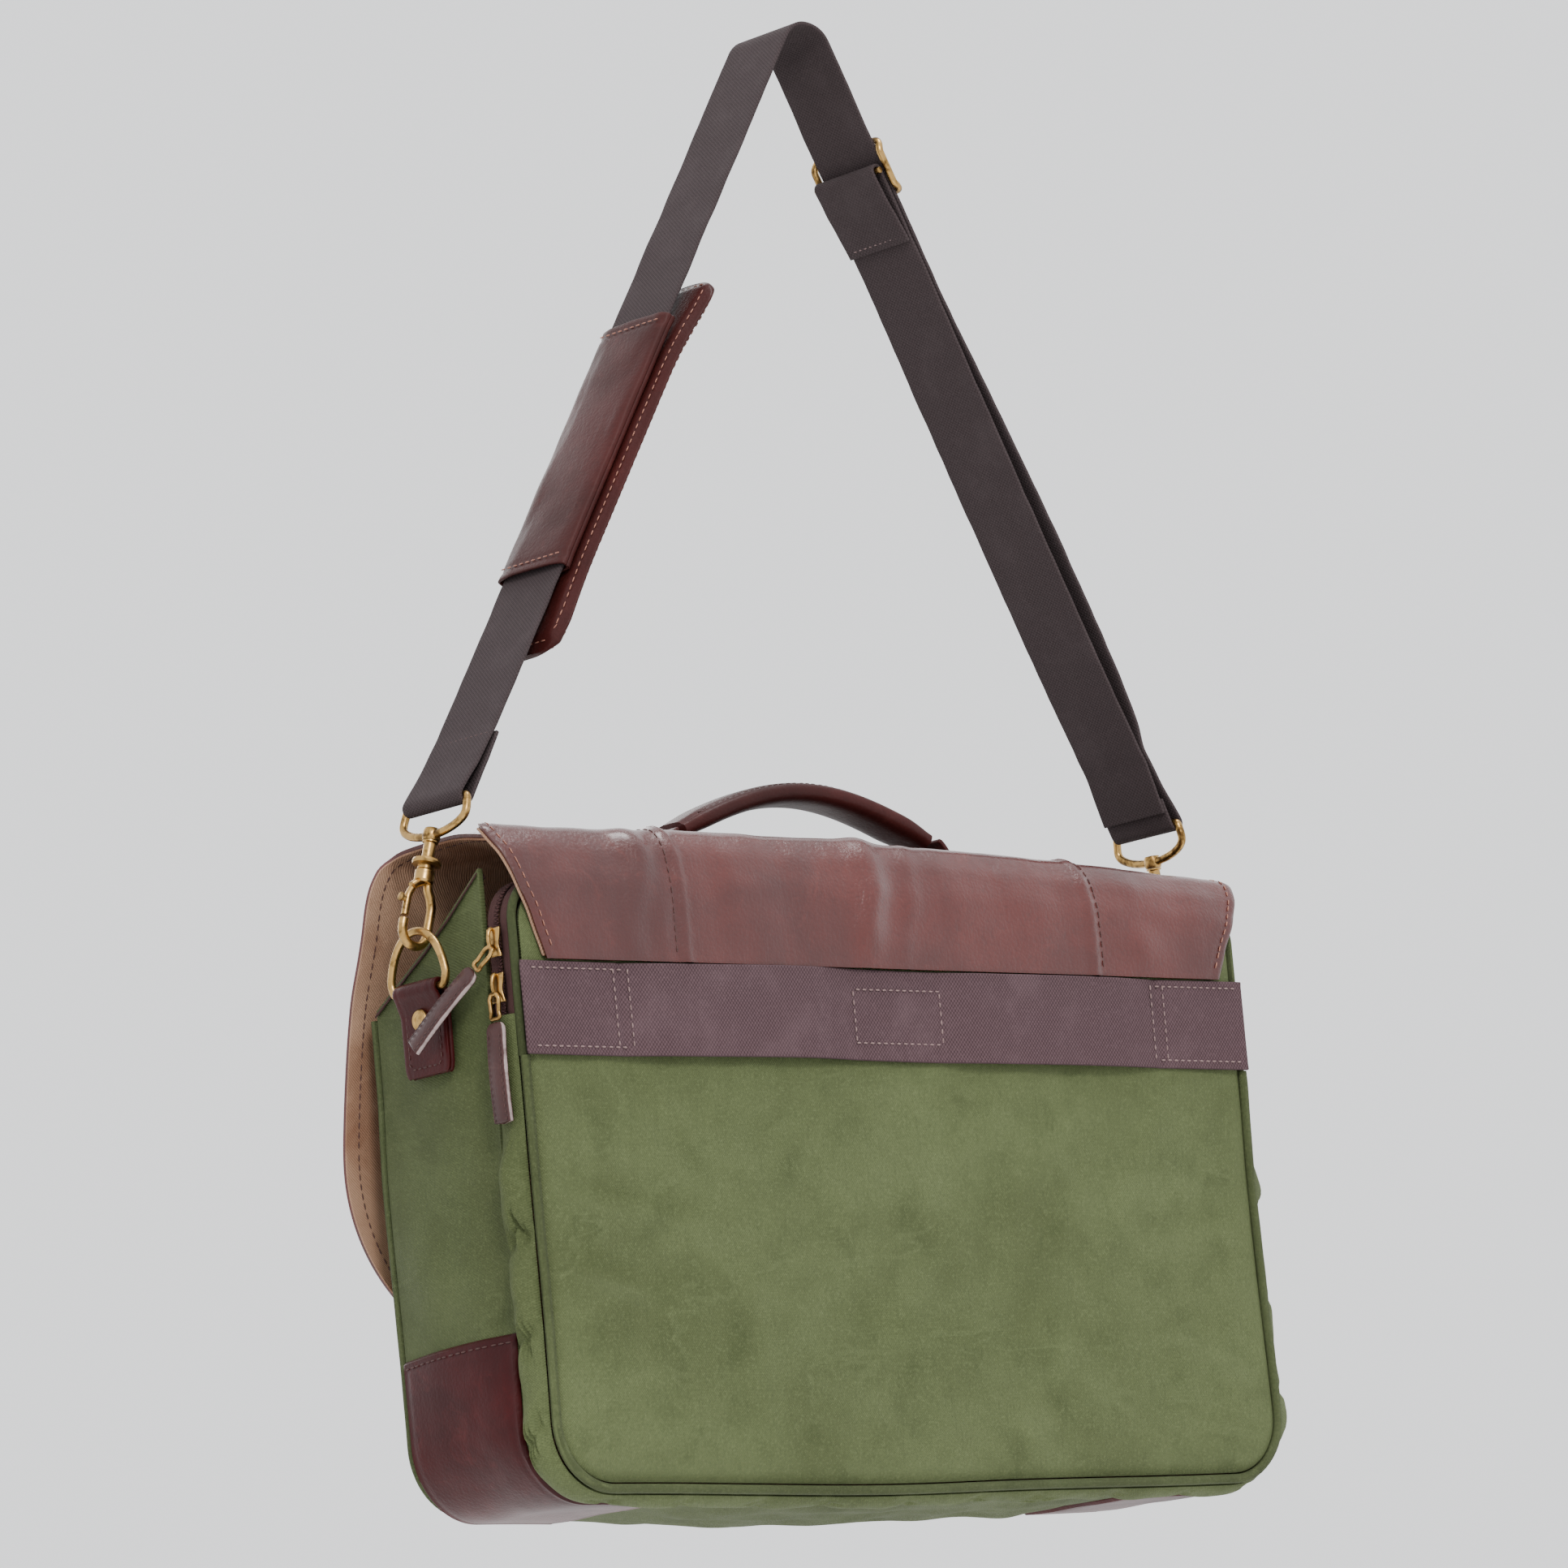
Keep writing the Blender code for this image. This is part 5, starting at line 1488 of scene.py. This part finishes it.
hookShape = {"eyeBottom": 0.043, "eyeTop": 0.058, "eyeHalf": 0.0215, "eyeDip": 0.008, "eyeWire": 0.0018,
             "wire": 0.0020, "bend": 0.0065, "gateTop": 0.0185, "gateTip": 0.0052, "gateX": 0.0052,
             "barrelLow": 0.0215, "barrelHigh": 0.0330, "barrel": 0.0042,
             "gateWire": 0.0016, "knobZ": 0.0122}
# (radius, height) pairs
postProfile = [(0, 0.0405), (0.0034, 0.0405), (0.0038, 0.0415), (0.0038, 0.0445), (0.0032, 0.0458),
               (0, 0.0462)]
knobProfile = [(0, 0), (0.0014, 0), (0.0012, 0.0014), (0.0019, 0.0018), (0.0019, 0.0026), (0, 0.0030)]


def makeHook(side, s):
    h = hookShape
    pivot = jointAt(side + "_hook_swivel")
    up = jointAlong(side + "_hook_swivel")
    place = Matrix.Translation(pivot) @ Vector((0, 0, 1)).rotation_difference(up).to_matrix().to_4x4()

    def spots(points):
        return [place @ Vector(p) for p in points]

    loop = [(0, h["eyeHalf"] * k, h["eyeTop"]) for k in (-0.93, -0.33, 0.33, 0.93)]
    for a in range(4, 177, 8):
        turn = math.radians(a)
        loop.append((0, h["eyeHalf"] * math.cos(turn), h["eyeBottom"] + h["eyeDip"] * (1 - math.sin(turn))))
    eye = wirePiece("hookEye_" + side, evenPath(spots(loop), 0.0009, 5, True), h["eyeWire"], True, 5)
    post = turnedPiece("post", postProfile, place)
    settle(joined("hookEye_" + side, [eye, post]), "strap", brass, "brass", "hook_eye_" + side)
    low, high, r = h["barrelLow"], h["barrelHigh"], h["barrel"]
    profile = [(0, low), (r * 0.80, low), (r, low + 0.0010), (r, low + 0.0052), (r * 0.84, low + 0.0060),
               (r * 0.84, high - 0.0038), (r * 1.42, high - 0.0034), (r * 1.50, high - 0.0024),
               (r * 1.42, high - 0.0014), (r * 0.80, high - 0.0010), (r * 0.62, high),
               (r * 0.62, 0.0392), (r * 0.80, 0.0396), (r * 0.80, 0.0402), (0, 0.0403)]
    barrel = turnedPiece("hookBarrel_" + side, profile, place)
    settle(barrel, side + "_hook", brass, "brass", "hook_barrel_" + side)
    bend = [(0.0026, low + 0.001), (0.0028, 0.0195), (0.0050, 0.0162), (h["bend"], 0.0120)]
    for a in range(0, -181, -9):
        bend.append((h["bend"] * math.cos(math.radians(a)), h["bend"] * math.sin(math.radians(a))))
    bend.append((-h["bend"], h["gateTip"] - 0.0016))

    def rod(name, line, passes, radius):
        line = spots([(s * x, 0, z) for x, z in line])
        return wirePiece(name, evenPath(line, 0.0007, passes), radius, False, 5)

    spine = rod("hookWire", [(-x, z) for x, z in bend], 4, h["wire"])
    # a cast cheek carries the gate's pin
    pin = [(0.0002, low + 0.001), (0.0034, 0.0205), (h["gateX"], h["gateTop"])]
    cheek = rod("cheek", pin, 3, h["wire"] * 0.95)
    settle(joined("hookBody_" + side, [spine, cheek]), side + "_hook", brass, "brass", "hook_" + side)
    line = [(h["gateX"], h["gateTop"] - 0.0012), (h["bend"], 0.0140), (h["bend"], h["gateTip"])]
    gate = rod("gate", line, 3, h["gateWire"])
    knobAt = place @ Vector((s * (h["bend"] + 0.0012), 0, h["knobZ"]))
    knobTurn = Vector((0, 0, 1)).rotation_difference(place.to_3x3() @ Vector((s, 0, 0))).to_matrix().to_4x4()
    knob = turnedPiece("knob", knobProfile, Matrix.Translation(knobAt) @ knobTurn)
    settle(joined("hookGate_" + side, [gate, knob]), side + "_gate", brass, "brass", "hook_gate_" + side)


for side, s in sides.items():
    makeRing(side, s)
    makeHook(side, s)
print("rings and hooks made")

# ---- shoulder strap ----

strapShape = {"width": 0.039, "thick": 0.0016, "crest": 0.0138, "layer": 0.0022, "settle": 0.036,
              "leftTail": 0.034, "fold": 0.034, "slack": 0.0012, "farSlack": 0.0052,
              "adjusterDown": 0.085, "frameHalf": 0.0220, "frameRise": 0.0120, "frameWire": 0.0014,
              "frameEnd": 0.0028, "frameCorner": 0.004, "tailStart": 0.0302, "seamIn": 0.003}
strapRun = {"left": jointAlong("pad_slide"), "right": jointAlong("adjuster_slide")}
strapOut = {"left": Vector((strapRun["left"].z, 0, -strapRun["left"].x)),
            "right": Vector((-strapRun["right"].z, 0, strapRun["right"].x))}
strapBar = {side: jointAt(side + "_hook_swivel") + jointAlong(side + "_hook_swivel") * hookShape["eyeTop"]
            for side in sides}
wrapRadius = hookShape["eyeWire"] + 0.0003 + strapShape["thick"] / 2 + 0.0002


def meetingPoint():
    # where the lines of the two runs cross
    apart = strapBar["right"] - strapBar["left"]
    a, b = strapRun["left"], strapRun["right"]
    share = (apart.x * b.z - apart.z * b.x) / (a.x * b.z - a.z * b.x)
    return strapBar["left"] + a * share


strapTop = meetingPoint()


def onRun(side, along, out):
    return strapBar[side] + strapRun[side] * along + strapOut[side] * out


def crossRows(side, places, face, half, out):
    # stitch lines that cross a run of the strap
    return [([onRun(side, along, face) + aside(y) for y in (-half, half)], out) for along in places]


def wrapPoints(side):
    # round the hook's bar, from the inner layer to the outer one
    points = []
    for i in range(13):
        a = math.pi * i / 12
        points.append(strapBar[side] - strapOut[side] * wrapRadius * math.cos(a)
                      - strapRun[side] * wrapRadius * math.sin(a))
    return points


def crestPoints():
    radius = strapShape["crest"]
    halfAngle = 0.5 * strapRun["left"].angle(strapRun["right"])
    down = -(strapRun["left"] + strapRun["right"]).normalized()
    centre = strapTop + down * (radius / math.sin(halfAngle))
    a0 = math.atan2(strapOut["left"].z, strapOut["left"].x)
    a1 = math.atan2(strapOut["right"].z, strapOut["right"].x)
    points = []
    for i in range(17):
        a = a0 + (a1 - a0) * i / 16
        points.append(centre + Vector((math.cos(a), 0, math.sin(a))) * radius)
    return points


def webbingStrip(name, path, outward):
    w = strapShape
    path = evenPath(path, 0.0011, 3)
    length = runLength(path)

    def spot(u, v):
        here, along = alongPath(path, v)
        out = Vector((-along.z, 0, along.x))
        across = 2 * u - 1
        gone = v * length
        cup = 0.0004 * ripple(gone, across * 0.01, 0, 22, 3) + 0.0003 * ripple(gone, 0, 0, 60, 8)
        y = across * (w["width"] / 2 + 0.00025 * ripple(gone, u, 0, 120, 5))
        return Vector((here.x, 0, here.z)) + Vector((0, path[0].y + y, 0)) + out * cup

    strip = sheetPiece(name, (14, len(path) - 1), (w["width"], length), spot, outward, w["thick"], 0.0)
    # the weave runs along the strip
    for loop in strip.data.uv_layers.active.data:
        loop.uv = (loop.uv[1], loop.uv[0])
    return strip


def makeStrap():
    w = strapShape
    inner = -w["layer"]
    rightLength = (strapTop - strapBar["right"]).length
    adjuster = rightLength - w["adjusterDown"]
    path = [onRun("left", w["leftTail"], inner), onRun("left", 0.012, inner - 0.0006)]
    path += wrapPoints("left")
    path += [onRun("left", 0.016, 0.0010), onRun("left", w["settle"], 0), onRun("left", 0.080, 0)]
    path += crestPoints()
    for i in range(21):
        t = 1 - i / 20
        along = w["settle"] + (adjuster - 0.06 - w["settle"]) * t
        path.append(onRun("right", along, w["farSlack"] * math.sin(math.pi * t ** 0.6)))
    path += [onRun("right", 0.016, 0.0010)]
    path += wrapPoints("right")[::-1]
    path += [onRun("right", 0.0125, inner - 0.0004)]
    middle = (strapBar["left"] + strapBar["right"]) / 2 + Vector((0, 0, 0.12))
    strap = webbingStrip("shoulderStrap", path, lambda at: at - middle)
    settle(strap, "strap", strapWebbing, "webbing", "shoulder_strap")

    barOut = inner - 0.0026
    foldRadius = w["frameWire"] + 0.0003 + w["thick"] / 2
    start = w["tailStart"]
    tail = [onRun("right", 0.0065, inner - 0.0024), onRun("right", 0.018, inner - 0.0012),
            onRun("right", start, inner)]
    slack = adjuster - w["fold"] - 0.012
    for i in range(1, 40):
        t = i / 39
        bow = w["slack"] * math.sin(math.pi * t ** 0.7) ** 0.9
        tail.append(onRun("right", start + (slack - start) * t, inner - bow))
    tail.append(onRun("right", adjuster - w["fold"], barOut + foldRadius))
    for i in range(15):
        a = math.pi * i / 14
        tail.append(onRun("right", adjuster + foldRadius * math.sin(a), barOut + foldRadius * math.cos(a)))
    tail += [onRun("right", adjuster - 0.012, barOut - foldRadius + 0.0004),
             onRun("right", adjuster - w["fold"], barOut + foldRadius - w["thick"] - 0.0004)]
    lower = webbingStrip("strapTail", tail, lambda at: -strapOut["right"])
    finished(lower, strapWebbing, "webbing", "strap_end_fold")
    onRun("right", 0.034, inner)
    onRun("right", adjuster - w["fold"] - 0.004, inner)
    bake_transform(lower)

    half = w["width"] / 2 - w["seamIn"]
    rows = crossRows("left", (0.0285, 0.0315), w["thick"] / 2 + 0.0001, half, strapOut["left"])
    settle(stitchRow("hookEndStitches", rows, 0.0034, 0.0024, 0.0008), "strap", darkThread, "webbing")
    end = adjuster - w["fold"]
    face = barOut + foldRadius - 1.5 * w["thick"] - 0.0005
    rows = crossRows("right", (end + 0.0030, end + 0.0058), face, half, -strapOut["right"])
    settle(stitchRow("foldStitches", rows, 0.0034, 0.0024, 0.0008), "adjuster", bandThread, "webbing")

    frameLine = []
    corner = w["frameCorner"]
    for ys, zs, start in ((1, 1, 0), (-1, 1, 90), (-1, -1, 180), (1, -1, 270)):
        for k in range(9):
            a = math.radians(start + 90 * k / 8)
            y = ys * (w["frameHalf"] - corner) + corner * math.cos(a)
            z = zs * (w["frameRise"] - corner) + corner * math.sin(a)
            arch = (w["frameEnd"] - barOut) * (abs(z) / w["frameRise"]) ** 1.6
            frameLine.append(onRun("right", adjuster + z, barOut + arch) + aside(y))
    ring = wirePiece("adjusterFrame", evenPath(frameLine, 0.0009, 2, True), w["frameWire"] * 1.15, True, 5)
    settle(ring, "adjuster", brass, "brass", "adjuster_frame")
    reach = w["frameHalf"] - 0.0006
    bar = [onRun("right", adjuster, barOut) + aside(y) for y in np.linspace(-reach, reach, 9)]
    settle(wirePiece("adjusterBar", bar, w["frameWire"], False, 5), "adjuster", brass, "brass",
           "adjuster_bar")


# ---- shoulder pad ----

padShape = {"start": 0.080, "end": 0.281, "width": 0.056, "thick": 0.0075, "sleeveStart": 0.118,
            "sleeveEnd": 0.252, "sleeveHalf": 0.0218, "sleeveFace": 0.0036, "round": 0.016,
            "seamIn": 0.0042}


def padBow(share):
    # the ends stand off the strap, the upper one more
    return 0.0075 * smooth(0.22, 0.62, share) + 0.0030 * smooth(-0.25, -0.60, share)


def padFat(edge):
    # the pillow thins towards its sewn edge
    return 0.34 + 0.66 * smooth(0.0, 0.0075, edge)


def makePad():
    p = padShape
    face = -p["sleeveFace"] + 0.0002
    length = p["end"] - p["start"]
    middle = (p["start"] + p["end"]) / 2

    def spot(u, v):
        # a flat pillow with round corners
        a = 2 * math.pi * u
        t = 0.5 - 0.5 * math.cos(math.pi * v)
        along = length * (t - 0.5)
        past = max(0.0, abs(along) - length / 2 + p["round"])
        wide = p["width"] / 2 - p["round"] + math.sqrt(max(p["round"] ** 2 - past ** 2, 0))
        inside = v not in (0.0, 1.0)
        y = inside * wide * rounded(math.cos(a), 0.45)
        edge = min(p["width"] / 2 - abs(y), length / 2 - abs(along))
        z = inside * p["thick"] / 2 * padFat(edge) * rounded(math.sin(a), 0.5)
        z += 0.0004 * ripple(along, y, 0, 40, 2) * (edge > 0.004)
        bow = padBow(along / length)
        return onRun("left", middle + along, face - p["thick"] / 2 + z - bow) + aside(y)

    pad = closedPiece("shoulderPad", (72, 110), (0.12, length), spot)
    settle(pad, "pad", padLeather, "leather", "shoulder_pad")
    rows = []
    seam = p["seamIn"]
    for side in (1, -1):
        ring = []
        for k in range(81):
            a = 2 * math.pi * k / 80
            y = (p["width"] / 2 - seam) * clipped(1.06 * math.cos(a) * (1 + 0.28 * abs(math.sin(a))))
            along = (length / 2 - seam) * clipped(1.6 * math.sin(a))
            reach = abs(along) - length / 2 + p["round"]
            if reach > 0:
                limit = p["width"] / 2 - p["round"] - seam + math.sqrt(max(p["round"] ** 2 - reach ** 2, 0))
                y = max(-limit, min(limit, y))
            at = face - p["thick"] / 2 + side * (p["thick"] / 2 * padFat(seam)) - padBow(along / length)
            ring.append(onRun("left", middle + along, at) + aside(y))
        rows.append((ring, strapOut["left"] * side))
    settle(stitchRow("padStitches", rows, 0.0040, 0.0029, 0.0007), "pad", leatherThread, "leather")

    sleeve = p["sleeveEnd"] - p["sleeveStart"]

    def sleeveSpot(u, v):
        # a flat leather tube round the strap, flared a little at its sewn ends
        a = 2 * math.pi * u
        flare = 1 + 0.03 * smooth(0.06, 0.0, min(v, 1 - v))
        y = p["sleeveHalf"] * flare * rounded(math.cos(a), 0.30)
        z = (p["sleeveFace"] - 0.0002) * rounded(math.sin(a), 0.45)
        if z > 0:
            z += 0.0010 * (1 - (y / p["sleeveHalf"]) ** 2) + 0.0005 * ripple(v, y * 20, 0, 7, 3)
            fromEnd = min(v, 1 - v) * sleeve
            z -= 0.0005 * math.exp(-((fromEnd - 0.0045) / 0.0012) ** 2)
        return onRun("left", p["sleeveStart"] + sleeve * v, z) + aside(y)

    def fromRun(at):
        return at - onRun("left", (at - strapBar["left"]).dot(strapRun["left"]), 0)

    tube = sheetPiece("padSleeve", (72, 60), (0.10, sleeve), sleeveSpot, fromRun, 0.0013)
    faceOut(tube)
    settle(tube, "pad", padLeather, "leather", "pad_sleeve")
    ends = (p["sleeveStart"] + 0.0045, p["sleeveEnd"] - 0.0045)
    rows = crossRows("left", ends, p["sleeveFace"] + 0.0007, p["sleeveHalf"] - 0.0016, strapOut["left"])
    settle(stitchRow("sleeveStitches", rows, 0.0040, 0.0029, 0.0008), "pad", leatherThread, "leather")


makeStrap()
makePad()
print("strap and pad made")
